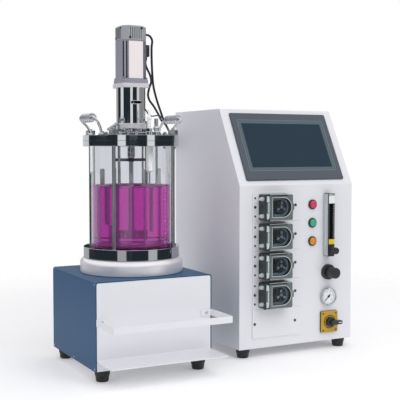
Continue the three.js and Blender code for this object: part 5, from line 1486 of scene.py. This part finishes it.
class BIOREACTOR_OT_internals(bpy.types.Operator):
    """The sparger and the baffle cage"""

    bl_idname = "bioreactor.internals"
    bl_label = "Sparger and baffles"

    def execute(self, context):
        turn = at(AXIS.x, AXIS.y) @ spin(214)
        z, top = FLOOR + 8, LID + 8
        pipe = rounded_route([(19, 0, z), (48, 0, z), (48, 0, top + 20), (90, 0, top + 4)], 8)
        around = [22.5 * k for k in range(16)]
        nozzle = moved(rod(0.9, 2.4, 3.3, 12, 0.2), at(20, 0, z))
        nozzles = copies("nozzles", nozzle, [(*AXIS, 0)] * 16, [(0, 0, a) for a in around])
        nut = moved(hexagon(12, top + GAP, top + 6, 0.8), turn, at(48, 0))
        ring = mesh_of("air_ring", moved(loop(20, z, 3.0), turn), nut)
        piece = joined("air_pipe", piped("riser", pipe, 3.0, 20, turn), ring, nozzles)
        # Painted shade: the passivated steel's darker grey makes the air pipe read dark inside the glass.
        show("air_pipe", piece, ["passivated_steel_and_painted_shade"], replaces=["sparger"])

        low, high = node_box("baffle_cage")
        here = at(AXIS.x, AXIS.y)
        outer = (high.x - low.x) / 2 - 5
        z = low.z
        plate = moved(prism(rounded(10, high.z - z, 1.6, 4), -1, 1, 0.3, 0.3),
            at(outer - 5, 0, (z + high.z) / 2), spin(90, "X"))
        plates = copies("plates", plate, [(AXIS.x, AXIS.y, 0)] * 4, [(0, 0, 90 * i) for i in range(4)])
        hoops = []
        for at_z in (12, 132):
            a, b = z + at_z, z + at_z + 4
            ring = [(outer - 2.5, a + 0.5), (outer - 2.0, a), (outer - 0.5, a), (outer, a + 0.5),
                (outer, b - 0.5), (outer - 0.5, b), (outer - 2.0, b), (outer - 2.5, b - 0.5),
                (outer - 2.5, a + 0.5)]
            hoops.append(moved(turned(ring, 96), here))
        made = joined("baffle_plates", indexed(plates, 0), mesh_of("hoops", *hoops))
        # Painted shade: the passivated steel's darker grey makes the baffles read dark inside the glass.
        show("baffle_plates", made, ["passivated_steel_and_painted_shade"], replaces=["baffle_cage"])
        return {"FINISHED"}


def port_at(name):
    angle, far, _ = PORTS[name]
    return at(*polar(angle, far).to_2d())


class BIOREACTOR_OT_probes(bpy.types.Operator):
    """The foam, pH and temperature probes and the sampling tube"""

    bl_idname = "bioreactor.probes"
    bl_label = "Probes"

    def execute(self, context):
        seat, under = LID + 8 + GAP, LID_LOW - GAP
        f = port_at("foam")
        sleeve = [(0, under - 68), (3.6, under - 68), (4.6, under - 67.4), (7.5, under - 64),
            (7.5, under - 0.6), (7.0, under), (4, under),
                  (4, seat), (4, seat + 8), (4, LID + 34), (5.4, LID + 35), (5.4, LID + 40),
            (4.6, LID + 40.6), (3, LID + 41), (3, LID + 55.4), (2.6, LID + 56), (0, LID + 56)]
        tip = [(0, under - 102), (1.2, under - 102), (1.8, under - 101.4), (1.8, under - 67.8),
            (0, under - 67.8)]
        nut = moved(hexagon(13.4, seat, seat + 7, 1.0), spin(10))
        knurl = [rod(4.4, LID + 20, LID + 21, 32, 0.2), rod(4.4, LID + 26, LID + 27, 32, 0.2)]
        made = mesh_of("foam_probe_rod", *[(moved(b, f), k) for b,
            k in ((turned(sleeve, 48), 0), (turned(tip, 24), 1), (nut, 1), (knurl[0], 0), (knurl[1], 0))])
        show("foam_probe_rod", made, ["ptfe", "mirror_steel"], replaces=["foam_probe"])

        p = port_at("ph")
        low = LID_LOW - 190
        shaft = [(0, low), (2.2, low + 0.3), (4, low + 1.5), (5.4, low + 4), (6, low + 7), (6, low + 24),
            (6, seat), (0, seat)]
        head = [(0, seat + 8.8), (7, seat + 8.8), (7, LID + 27), (6.2, LID + 28), (5.8, LID + 29.6),
            (5, LID + 30), (0, LID + 30)]
        nut = turned([(0, seat), (8.6, seat), (9, seat + 0.5), (9, seat + 8.2), (8.4, seat + 9),
            (0, seat + 9)], 18)
        made = mesh_of("ph_probe_rod", *[(moved(b, p), k) for b,
            k in ((turned(shaft, 32), 1), (turned(head, 32), 0), (nut, 0))])
        show("ph_probe_rod", made, ["black_abs", "glass"], replaces=["ph_probe"])

        t = port_at("temperature")
        low = LID_LOW - 205
        stem = [(0, low), (1.4, low + 0.4), (2.5, low + 2), (2.5, seat + 8.5), (4, seat + 9), (4, LID + 39),
            (3.6, LID + 40), (2.9, LID + 44), (2.5, LID + 48), (0, LID + 48)]
        rings = [rod(4.3, LID + z, LID + z + 1.2, 24, 0.3) for z in (22, 25, 28)]
        made = mesh_of("temperature_probe_rod", moved(turned(stem, 24), t),
            moved(hexagon(11, seat, seat + 8, 0.8), t, spin(20)), *[moved(b, t) for b in rings])
        show("temperature_probe_rod", made, ["mirror_steel"], replaces=["temperature_probe"])

        s = port_at("sample")
        low = LID_LOW - 222
        tube = [(1.7, low), (2.5, low), (2.5, seat), (5, seat), *arc(0, seat + 6.5, 7, -50, 50, 10),
            (4.5, seat + 13), (4.5, LID + 36), (4, LID + 37), (1.7, LID + 37), (1.7, low)]
        made = mesh_of("sample_pipe", moved(turned(tube, 32), s))
        show("sample_pipe", made, ["mirror_steel"], replaces=["sample_tube"])
        return {"FINISHED"}


# ---------------- cabinet


class BIOREACTOR_OT_cabinet(bpy.types.Operator):
    """The cabinet's folded shell, rear wall, feet, glands and mains inlet"""

    bl_idname = "bioreactor.cabinet"
    bl_label = "Cabinet"

    def execute(self, context):
        sheet_copy("cabinet_shell", "white_coat", "white_enamel")
        low, high = CAB
        rear = high.y
        line = [(low.y + 2.3, low.z), (rear, low.z), (rear, high.z - 2.3)]
        wall = moved(prism(folded(line), low.x + 2.3, high.x - 2.3), ALONG_X)
        slots = [moved(prism(rounded(120, 4, 1.9, 5), -6, 6), at(182, rear, 300 + (i - 2.5) * 14),
            PANEL) for i in range(6)]
        sheet = carved("rear_wall", wall, *slots)
        piece = show("rear_wall", sheet, ["grey_coat"], replaces=["cabinet_back"])
        soften(piece, 0.35)
        spots = [(x, y, 0) for x in (low.x + 22, high.x - 22) for y in (low.y + 22, rear - 22)]
        show("cabinet_feet", feet("cabinet_feet", spots, low.z), ["rubber"], replaces=["cabinet_back"])

        back = spin(-90, "X")
        bodies = []
        for x, r in ((95, 9), (125, 9), (150, 5.5)):
            spot = at(x, rear, GLAND_END[1])
            bodies.append(moved(hexagon(r * 1.72, -0.5, 5, 0.8), spot, back))
            profile = [(0, 4.8), (r - 0.4, 4.8), (r, 5.3), (r, 6.2), (r - 1.5, 7), (r - 1.5, 12),
                (r - 2.2, 13), (r - 3, 17), (r - 3.4, 18), (0, 18)]
            bodies.append(moved(turned(profile, 12 if r > 6 else 10), spot, back))
        glands = show("glands", mesh_of("glands", *bodies), ["black_abs"], replaces=["cabinet_back"])
        soften(glands, 0.3)
        spot = at(270, rear, 90)
        flange = carved("inlet", moved(prism(rounded(50, 30, 5), -0.5, 4, 0.5), spot, back),
            moved(prism(rounded(24, 16, 3), 0.6, 6), spot, back))
        pins = mesh_of("pins", *[moved(block(x - 1, x + 1, z - 2, z + 2, 0.5, 3.6, 0.3), spot, back) for x,
            z in ((-6, -2), (0, 3), (6, -2))])
        indexed(pins, 1)
        show("mains_inlet", joined("mains_inlet", flange, pins), ["black_abs", "bright_steel"],
            replaces=["cabinet_back"])
        spots = [(x, rear, z) for x in (low.x + 12, (low.x + high.x) / 2, high.x - 12) for z in (40, 300,
            560)]
        spots += [(270 + s * 20, rear + 4, 90) for s in (-1, 1)]
        screws = copies("rear_screws", screw(3.2, 1.3), spots, [(-90, 0, 0)] * len(spots))
        show("rear_screws", screws, ["bright_steel"])
        return {"FINISHED"}


class BIOREACTOR_OT_display(bpy.types.Operator):
    """The touch display on the sloping face"""

    bl_idname = "bioreactor.display"
    bl_label = "Touch display"

    def execute(self, context):
        place = SLOPE @ at(21 + 135.5, 12 + 89)
        shell = moved(stacked([(270, 177, 3, 0.3, 0), (271, 178, 3.5, 0.9, 0), (271, 178, 3.5, 3.0, 0),
            (268.6, 175.6, 3, 4.7, 0), (265, 172, 2.6, 5.3, 0),
                               (241, 135, 2.2, 5.3, 2), (240.4, 134.4, 2, 3.6, 2)]), place)
        inner = moved(stacked([(240, 134, 2, 3.4, 2), (240, 134, 2, 5.0, 2), (239.4, 133.4, 1.8, 5.2, 2),
            (223.4, 117.4, 1.2, 4.7, 2), (222.8, 116.8, 1, 4.4, 2)]), place)
        screen = moved(stacked([(222.6, 116.6, 1, 4.3, 2), (222.6, 116.6, 1, 4.5, 2)]), place)
        case = moved(block(-126.5, 126.5, -80, 80, -32, 0.2, 0.6), place)
        edge = rounded(240.8, 134.8, 2, 4)
        line = piped("outline", [(x, y + 2, 5.1) for x, y in [*edge, edge[0]]], 0.5, 8, place)
        made = joined("display_panel", mesh_of("display", (shell, 0), (inner, 1), (screen, 2), (case, 0),
            sharp=25), indexed(line, 3), sharp=25)
        finishes = ["bezel", "bezel_light", "panel", "grey_abs"]
        show("display_panel", made, finishes, slot="bezel_plastic", replaces=["display"])
        return {"FINISHED"}


class BIOREACTOR_OT_modules(bpy.types.Operator):
    """The plates behind the pump heads, with their screws"""

    bl_idname = "bioreactor.modules"
    bl_label = "Pump modules"

    def execute(self, context):
        low, high = node_box("pump_panel")
        piece = show("module_plates", copy_of("pump_panel", "module_plates"), ["white_coat"],
            replaces=["pump_panel"])
        soften(piece, 0.3)
        pitch = (high.z - low.z) / 5
        centres = [high.z - pitch * (i + 0.5) for i in range(4)]
        face = low.y
        large = [(64.5, face, z) for z in centres] + [(174.9, face, z + 2.5) for z in centres]
        large += [(64.5, face, low.z + pitch / 2), (174.9, face, low.z + pitch / 2)]
        small = [(64.5, face, z + s * 21) for z in centres for s in (-1, 1)]
        screws = joined("module_screws", fixed(large, 3.3, 1.8, name="large"),
            fixed(small, 2.5, 1.4, name="small"))
        show("module_screws", screws, ["dark_steel_and_painted_shade"])
        return {"FINISHED"}


def pump_parts():
    """One pump head about its middle, standing on Z: each part's mesh, finishes and slot."""
    sides = (-1, 1)
    track = at(9)  # the rotor's axis, right of the head's middle
    tools = [moved(rod(23.5, 9, 26, 72), track), moved(rod(3.6, 1.5, 10, 24), track)]
    tools += [block(-38, 9, y * 19.5 - 4, y * 19.5 + 4, 9, 26) for y in sides]
    tools += [block(-38, -25, y * 19.5 - 5.3, y * 19.5 + 5.3, 9, 26) for y in sides]
    case = carved("pump_case", prism(rounded(74, 60, 4, 5), 0, 25, 0.6, 0.4), *tools)
    latch = [block(-37, -34.3, -30, 30, 24.5, 29.6, 0.6), block(36, 43, -9, 9, 2, 24, 1.0),
        block(40, 43.4, -6, 6, 8, 25.2, 0.6)]
    ribs = copies("latch_ribs", block(42.6, 43.9, -0.5, 0.5, 4, 22, 0.3),
        [(0, y, 0) for y in range(-6, 7, 3)], material="black_abs")
    body = joined("pump_body", case, mesh_of("latch", *latch), ribs)

    route = [(-45, -19.5, 17.5), *[(x, y, 17.5) for x, y in arc(9, 0, 19.5, -90, 90, 28)],
        (-45, 19.5, 17.5)]
    grips = []
    for y in sides:
        stub = [(0, -41), (4.4, -41), (5, -40.4), (5, -26), (4.4, -25.3), (0, -25.3)]
        grips.append(moved(turned(stub, 32), at(0, y * 19.5, 17.5), spin(90, "Y")))
        wing = [(-34, y * 12.9), (-25.6, y * 12.9), (-27, y * 25), (-32.6, y * 27)][::y]
        grips.append(prism(wing, 25.3, 30.3, 0.8, 0.3))
        grips.append(moved(turned([(0, 30), (2.4, 30), (2.4, 30.7), (1.6, 31), (0, 31)], 24),
            at(-30, y * 18)))
    tube = joined("pump_tube", piped("tube", route, 3.7, 20), indexed(mesh_of("grips", *grips), 1))

    edge = [(-34, -12.5), (-25, -12.5), (-25, -30), *arc(33, -26, 4, -90, 0), *arc(33, 26, 4, 0, 90),
        (-25, 30), (-25, 12.5), (-34, 12.5)]
    window = [(-19, -22.5), *arc(10.5, 0, 22.5, -90, 90, 28), (-19, 22.5)]
    hollow = [(-18, -28), *arc(31, -24, 4, -90, 0), *arc(31, 24, 4, 0, 90), (-18, 28)]
    rim = carved("cover_rim", prism(edge, 25.3, 30.3, 0.7), prism(window, 24, 31), prism(hollow, 24, 27.4))
    pane = prism([(-19.6, -23.2), *arc(10.5, 0, 23.2, -90, 90, 28), (-19.6, 23.2)], 27.4, 28.4)
    strip = block(-24, 22, 25.8, 29.3, 30, 30.6, 0.2)
    bead = piped("bead", [(x, y, 30.1) for x, y in [*window, window[0]]], 0.75, 8)
    # A painted highlight, a pale line along the clear moulding's outer edge where it catches the light, and
    # the moulding's bar between the clips.
    lit = piped("edge_light", [(x * 0.985, y * 0.985, 30.1) for x, y in [*edge[2:-2]]], 0.5, 8)
    bar = block(-30, -27.5, -12, 12, 30.1, 30.5, 0.2)
    cover = joined("pump_cover", rim, mesh_of("panes", (pane, 1), (strip, 2), (bar, 3)),
        indexed(joined("lines", bead, lit), 3))

    discs = [rod(15, 9.6, 11.6, 64, 0.4), rod(15, 22.6, 24.6, 64, 0.4), rod(7, 11, 25.4, 32, 0.6),
        rod(3, 2, 10, 24)]
    turns = [(0, 0, 90 + 120 * k) for k in range(3)]
    arms = [moved(prism(rounded(15, 5, 2.4, 6), 24.4, 25.2, 0.3), at(6)),
        moved(rod(1.8, 25, 26, 16, 0.3), at(10.5))]
    rollers = indexed(copies("rollers", moved(rod(4.5, 10.1, 24.1, 32, 0.5), at(10.5)), [(9, 0, 0)] * 3,
        turns), 1)
    arms = indexed(copies("arms", arms, [(9, 0, 0)] * 3, turns), 1)
    cap = mesh_of("cap", (moved(hexagon(7, 25.3, 26.6, 0.4), track), 1))
    rotor = joined("pump_rotor", mesh_of("discs", *[moved(d, track) for d in discs]), rollers, arms, cap)
    return {
        "body": (body, ["pump_black"], "black_plastic"),
        "tube": (tube, ["tube", "natural_nylon_and_edge_highlight"], "white_plastic"),
        "cover": (cover, ["frosted", "smoked", "black_abs", "natural_nylon_and_edge_highlight"], "clear_plastic"),
        "rotor": (rotor, ["pump_black", "bright_steel"], "grey_enamel"),
    }


class BIOREACTOR_OT_pumps(bpy.types.Operator):
    """The four peristaltic pump heads: body, rotor, tube with its fittings, and clear cover"""

    bl_idname = "bioreactor.pumps"
    bl_label = "Pump heads"

    def execute(self, context):
        made = pump_parts()
        for i in range(1, 5):
            low, high = node_box(f"pump_cover_{i}")
            spot = on_front((low.x + high.x) / 2, (low.z + high.z) / 2, 2.6)
            for kind, (mesh, materials, slot) in made.items():
                node = f"pump_{kind}_{i}"
                body = node if kind == "rotor" else "root"
                show(node + "_head", placed(mesh, node, spot), materials, body=body, slot=slot,
                    replaces=[node])
        return {"FINISHED"}


class BIOREACTOR_OT_lamps(bpy.types.Operator):
    """The three indicator lamps"""

    bl_idname = "bioreactor.lamps"
    bl_label = "Indicator lamps"

    def execute(self, context):
        for colour in ("red", "green", "amber"):
            node = "lamp_" + colour
            centre = middle(node)
            spot = on_front(centre.x, centre.z, GAP)
            bezel = [(8.6, 0), (11, 0), (11.5, 0.5), (11.5, 2.4), (11.1, 3.0), (9.6, 3.2), (8.9, 2.8),
                (8.6, 2.2), (8.6, 0)]
            lens = [(0, 0.2), (8.4, 0.2), (8.8, 3), (8.8, 5.0), (8.4, 5.8), (7.4, 6.5), (5.6, 6.9),
                (0, 7.0)]
            made = mesh_of(node, (moved(turned(bezel, 48), spot), 0), (moved(turned(lens, 48), spot), 1))
            show(node + "_lens", made, ["black_abs", "lens_" + colour], slot=colour + "_lens",
                replaces=[node])
        return {"FINISHED"}


class BIOREACTOR_OT_flowmeter(bpy.types.Operator):
    """The flowmeter: clear block, scale, float and needle valve"""

    bl_idname = "bioreactor.flowmeter"
    bl_label = "Flowmeter"

    def execute(self, context):
        low, high = node_box("flowmeter_body")
        mid, h0, h1, depth = (low.x + high.x) / 2, low.z, high.z, high.y - low.y
        spot, bore = on_front(mid, 0, GAP), middle("flowmeter_float")
        centre, tall = (h0 + h1) / 2, h1 - h0
        core = carved(
            "flow_core",
            moved(prism(rounded(18.4, tall, 1.2, 3), 0, depth - 0.8, 0.3), spot, at(0.8, centre)),
            moved(rod(5.2, h0 + 19, h1 - 19, 40), at(bore.x, bore.y)),
            moved(prism(rounded(8.8, tall - 54, 1, 3), 10, depth + 2), spot, at(0, centre + 4)),
        )
        parts = [
            (moved(prism(rounded(1.6, tall - 3, 0.6, 3), 0.6, depth - 0.2, 0.3), spot,
                at(-9.2, centre)), 1),
            # A painted highlight: a thin white strip on the clear block's left side, where its polished edge
            # catches the light.
            (moved(block(-10.06, -9.9, h0 + 26, h1 - 26, depth * 0.5, depth * 0.62), spot), 2),
            (moved(block(-9.9, -8.4, h0 + 1, h1 - 1, depth - 1.6, depth + 0.0, 0.2), spot), 0),
            (moved(prism(rounded(16.4, 19, 1, 3), depth - 2, depth + 0.4, 0.5), spot, at(1, h1 - 14.5)), 2),
            (moved(prism(rounded(16.4, 12, 1, 3), depth - 2, depth + 0.4, 0.5), spot, at(1, h0 + 35)), 3),
            (moved(block(-7, 8, h1 - 2.6, h1 - 1.2, depth - 1, depth + 0.1, 0.2), spot), 2),
            (moved(rod(4.4, depth - 4, depth + 0.8, 32, 0.5), spot, at(0, h0 + 15)), 0),
        ]
        marks = copies("flow_marks", block(-2.2, 2.2, -0.25, 0.25, -0.05, 0.12),
            [(mid + 7, FRONT - GAP - depth + 0.1, h0 + 48 + k * 6) for k in range(13)],
            [OUTWARD] * 13, "white_ink")
        made = joined("flow_block", core, mesh_of("flow_parts", *parts), indexed(marks, 5))
        finishes = ["black_abs", "acrylic_edge", "white_nylon_and_edge_highlight", "mark_yellow", "acrylic", "white_ink"]
        show("flow_block", made, finishes, slot="clear_plastic", replaces=["flowmeter_body"])

        low, high = node_box("flowmeter_float")
        bob = [(0, 0), (0.8, 0.1), (1.2, 0.6), (4.2, 5.4), (4.4, 6), (4.4, 8.6), (4.0, 9), (0, 9)]
        made = mesh_of("float_bob", moved(turned(bob, 32), at(*((low + high) / 2).to_2d(), low.z)))
        show("float_bob", made, ["bright_steel"], body="flowmeter_float", replaces=["flowmeter_float"])

        low, high = node_box("flowmeter_knob")
        knob_z = (low.z + high.z) / 2
        spot = on_front(mid, knob_z, GAP)
        profile = [(0, depth - 5), (3.2, depth - 5), (3.2, depth + 8.6), (6.6, depth + 9), (8, depth + 10),
            (8, depth + 20.2), (7.4, depth + 21.4), (6.2, depth + 22), (0, depth + 22)]
        knob = mesh_of("knob", moved(turned(profile, 48), spot))
        ridge = block(7.4, 8.05, -0.5, 0.5, depth + 11, depth + 20, 0.15)
        ridges = copies("ridges", ridge, [(mid, FRONT - GAP, knob_z)] * 24,
            [(90, -15 * i, 0) for i in range(24)], "black_abs")
        made = joined("flow_knob", knob, indexed(ridges, 0))
        show("flow_knob", made, ["black_abs"], body="flowmeter_knob", replaces=["flowmeter_knob"])
        return {"FINISHED"}


class BIOREACTOR_OT_regulator(bpy.types.Operator):
    """The pressure regulator and its fluted knob"""

    bl_idname = "bioreactor.regulator"
    bl_label = "Pressure regulator"

    def execute(self, context):
        centre = middle("regulator_body")
        spot = on_front(centre.x, centre.z, 0)
        body = [(0, 0.3), (18, 0.3), (18.5, 0.8), (18.5, 7), (17.9, 8.4), (16.5, 9.3), (12, 9.3), (11, 9.8),
            (11, 16.3), (0, 16.3)]
        here = (centre.x, FRONT, centre.z)
        grooves = copies("grooves", block(17.9, 19.5, -0.8, 0.8, 1.5, 8.2, 0.1), [here] * 24,
            [(90, -15 * i, 0) for i in range(24)])
        base = carved("regulator_base", moved(turned(body, 72), spot), grooves)
        show("regulator_base", base, ["black_abs"], replaces=["regulator_body"])

        k0, k1 = 16.6, FRONT - node_box("regulator_knob")[0].y
        grip = [(0, k0), (12.4, k0), (13, k0 + 0.6), (13, k1 - 3), (12.2, k1 - 1), (10.4, k1), (8.6, k1),
            (8, k1 - 0.6), (0, k1 - 0.6)]
        flutes = copies("flutes", moved(rod(1.5, k0 - 1, k1 - 3.4, 12), at(13.5)), [here] * 10,
            [(90, -36 * i, 0) for i in range(10)])
        knob = carved("regulator_grip", moved(turned(grip, 80), spot), flutes)
        show("regulator_grip", knob, ["black_abs"], body="regulator_knob", replaces=["regulator_knob"])
        return {"FINISHED"}


class BIOREACTOR_OT_gauge(bpy.types.Operator):
    """The pressure gauge: case, dial, pointer"""

    bl_idname = "bioreactor.gauge"
    bl_label = "Pressure gauge"

    def execute(self, context):
        low, high = node_box("gauge_case")
        centre = (low + high) / 2
        spot = on_front(centre.x, centre.z, 0)
        out = FRONT - low.y
        r = (high.x - low.x) / 2
        dial = out - 5
        case = [(0, 0.3), (r - 2, 0.3), (r, 2.3), (r, out - 2), (r - 0.4, out - 0.6), (r - 1.2, out),
            (r - 2, out - 0.4), (r - 2.6, dial), (0, dial)]
        bodies = [(moved(turned(case, 96), spot), 0), (moved(rod(r - 2.8, dial, dial + 0.25, 96), spot), 1)]
        marks = []
        for step, skip, long, wide in ((10, 0, 3.0, 0.34), (5, 10, 2.0, 0.22), (1, 5, 1.3, 0.16)):
            turns = [(90, 5.4 * k - 225, 0) for k in range(0, 51, step) if not (skip and k % skip == 0)]
            tick = block(15.6 - long, 15.6, -wide, wide, dial + 0.25, dial + 0.36)
            marks.append(indexed(copies("ticks", tick, [(centre.x, FRONT, centre.z)] * len(turns), turns,
                "ink"), 2))
        words = []
        for k in range(6):
            a = math.radians(225 - 54 * k)
            words.append((str(2 * k), 10.0 * math.cos(a), 10.0 * math.sin(a)))
        bodies += [(moved(b, spot, at(0, 0, dial + 0.25)), 2) for b in numerals(words, 3.6)]
        made = joined("gauge_dial", mesh_of("gauge_dial", *bodies), *marks)
        show("gauge_dial", made, ["bright_steel", "dial", "ink"], slot="satin_aluminium",
            replaces=["gauge_case"])

        n0 = dial + 1.2
        pointer = prism([(-6, -1.3), (0, -1.0), (14.6, -0.2), (15, 0), (14.6, 0.2), (0, 1.0), (-6, 1.3)],
            n0, n0 + 0.8)
        hub = turned([(0, n0 - 0.4), (2.6, n0 - 0.4), (2.6, n0 + 1.2), (2.2, n0 + 1.6), (0, n0 + 1.6)], 32)
        pin = rod(1.1, dial - 2.5, n0, 16)
        made = mesh_of("pointer", *[moved(b, spot, spin(225)) for b in (pointer, hub, pin)])
        show("pointer", made, ["ink"], body="gauge_needle", replaces=["gauge_needle"])
        return {"FINISHED"}


class BIOREACTOR_OT_switch(bpy.types.Operator):
    """The main switch: yellow plate and black lever"""

    bl_idname = "bioreactor.switch"
    bl_label = "Main switch"

    def execute(self, context):
        low, high = node_box("switch_plate")
        centre = (low + high) / 2
        spot = on_front(centre.x, centre.z, 0)
        w, h, out = high.x - low.x, high.z - low.z, FRONT - low.y
        base = moved(stacked([(w - 0.6, h - 0.6, 3, 0.3, 0), (w, h, 3, 0.8, 0), (w, h, 3, out - 2.2, 0),
            (w - 0.6, h - 0.6, 3, out - 1.8, 0)]), spot)
        top = moved(stacked([(w - 0.8, h - 0.8, 3, out - 2, 0), (w - 0.4, h - 0.4, 3, out - 1.6, 0),
            (w - 0.4, h - 0.4, 3, out - 0.6, 0), (w - 1.4, h - 1.4, 2.6, out, 0)]), spot)
        hole = moved(rod(6, out - 4, out + 1, 40), spot)
        plate = carved("switch_face", top, hole)
        ring = [(14.2, out - 0.2), (16.2, out - 0.2), (16.0, out + 0.25), (14.4, out + 0.25),
            (14.2, out - 0.2)]
        made = joined("switch_face", indexed(plate, 0), mesh_of("base", (base, 1),
            (moved(turned(ring, 64), spot), 1)))
        screws = fixed([(centre.x + sx * 18.5, FRONT - out, centre.z + sz * 20.5) for sx in (-1,
            1) for sz in (-1, 1)], 2.4, 0.9, name="s")
        indexed(screws, 2)
        made = joined("switch_face", made, screws)
        show("switch_face", made, ["yellow", "black_abs", "dark_steel_and_painted_shade"], replaces=["switch_plate"])

        h0 = out + GAP
        hub = turned([(0, h0), (11.4, h0), (12, h0 + 0.6), (11.6, h0 + 6), (10.8, h0 + 9.4), (10, h0 + 10),
            (0, h0 + 10)], 48)
        lever = prism([*arc(0, 0, 6, 90, 270, 10), *arc(21.5, 0, 4.5, -90, 90, 8)], h0 + 9, h0 + 19, 1.2)
        pin = rod(5.4, out - 3.5, h0 + 1, 32)
        mark = block(13, 24, -0.7, 0.7, h0 + 18.9, h0 + 19.1, 0.05)
        low, high = node_box("switch_handle")
        made = mesh_of("switch_lever", *[(moved(b, spot), 0) for b in (hub, lever, pin)],
            (moved(mark, spot), 1))
        show("switch_lever", made, ["black_abs", "white_ink"], body="switch_handle",
            replaces=["switch_handle"])
        return {"FINISHED"}


class BIOREACTOR_PT_panel(bpy.types.Panel):
    """Sizes, colours and the operators, in the order they run"""

    bl_idname = "BIOREACTOR_PT_panel"
    bl_label = "Bench bioreactor"
    bl_space_type = "VIEW_3D"
    bl_region_type = "UI"
    bl_category = "Bioreactor"

    def draw(self, context):
        for group in (context.scene.bioreactor_sizes, context.scene.bioreactor_colours,
            context.scene.bioreactor_stage):
            box = self.layout.box()
            for key in group.__annotations__:
                box.prop(group, key)
        for operator in OPERATORS:
            self.layout.operator(operator.bl_idname)


OPERATORS = (
    BIOREACTOR_OT_stage,
    BIOREACTOR_OT_leads,
    BIOREACTOR_OT_stand,
    BIOREACTOR_OT_base,
    BIOREACTOR_OT_glass,
    BIOREACTOR_OT_medium,
    BIOREACTOR_OT_lid,
    BIOREACTOR_OT_handles,
    BIOREACTOR_OT_housing,
    BIOREACTOR_OT_motor,
    BIOREACTOR_OT_stirrer,
    BIOREACTOR_OT_seal,
    BIOREACTOR_OT_internals,
    BIOREACTOR_OT_probes,
    BIOREACTOR_OT_cabinet,
    BIOREACTOR_OT_display,
    BIOREACTOR_OT_modules,
    BIOREACTOR_OT_pumps,
    BIOREACTOR_OT_lamps,
    BIOREACTOR_OT_flowmeter,
    BIOREACTOR_OT_regulator,
    BIOREACTOR_OT_gauge,
    BIOREACTOR_OT_switch,
)
GROUPS = {
    "bioreactor_colours": BioreactorColours,
    "bioreactor_sizes": BioreactorSizes,
    "bioreactor_stage": BioreactorStage,
}


def register():
    for item in (*GROUPS.values(), *OPERATORS, BIOREACTOR_PT_panel):
        bpy.utils.register_class(item)
    for key, group in GROUPS.items():
        setattr(bpy.types.Scene, key, PointerProperty(type=group))


def unregister():
    for key in GROUPS:
        delattr(bpy.types.Scene, key)
    for item in (BIOREACTOR_PT_panel, *reversed(OPERATORS), *GROUPS.values()):
        bpy.utils.unregister_class(item)


def main():
    register()
    for operator in OPERATORS:
        family, name = operator.bl_idname.split(".")
        getattr(getattr(bpy.ops, family), name)()
    bpy.context.view_layer.update()


if __name__ == "__main__":
    main()
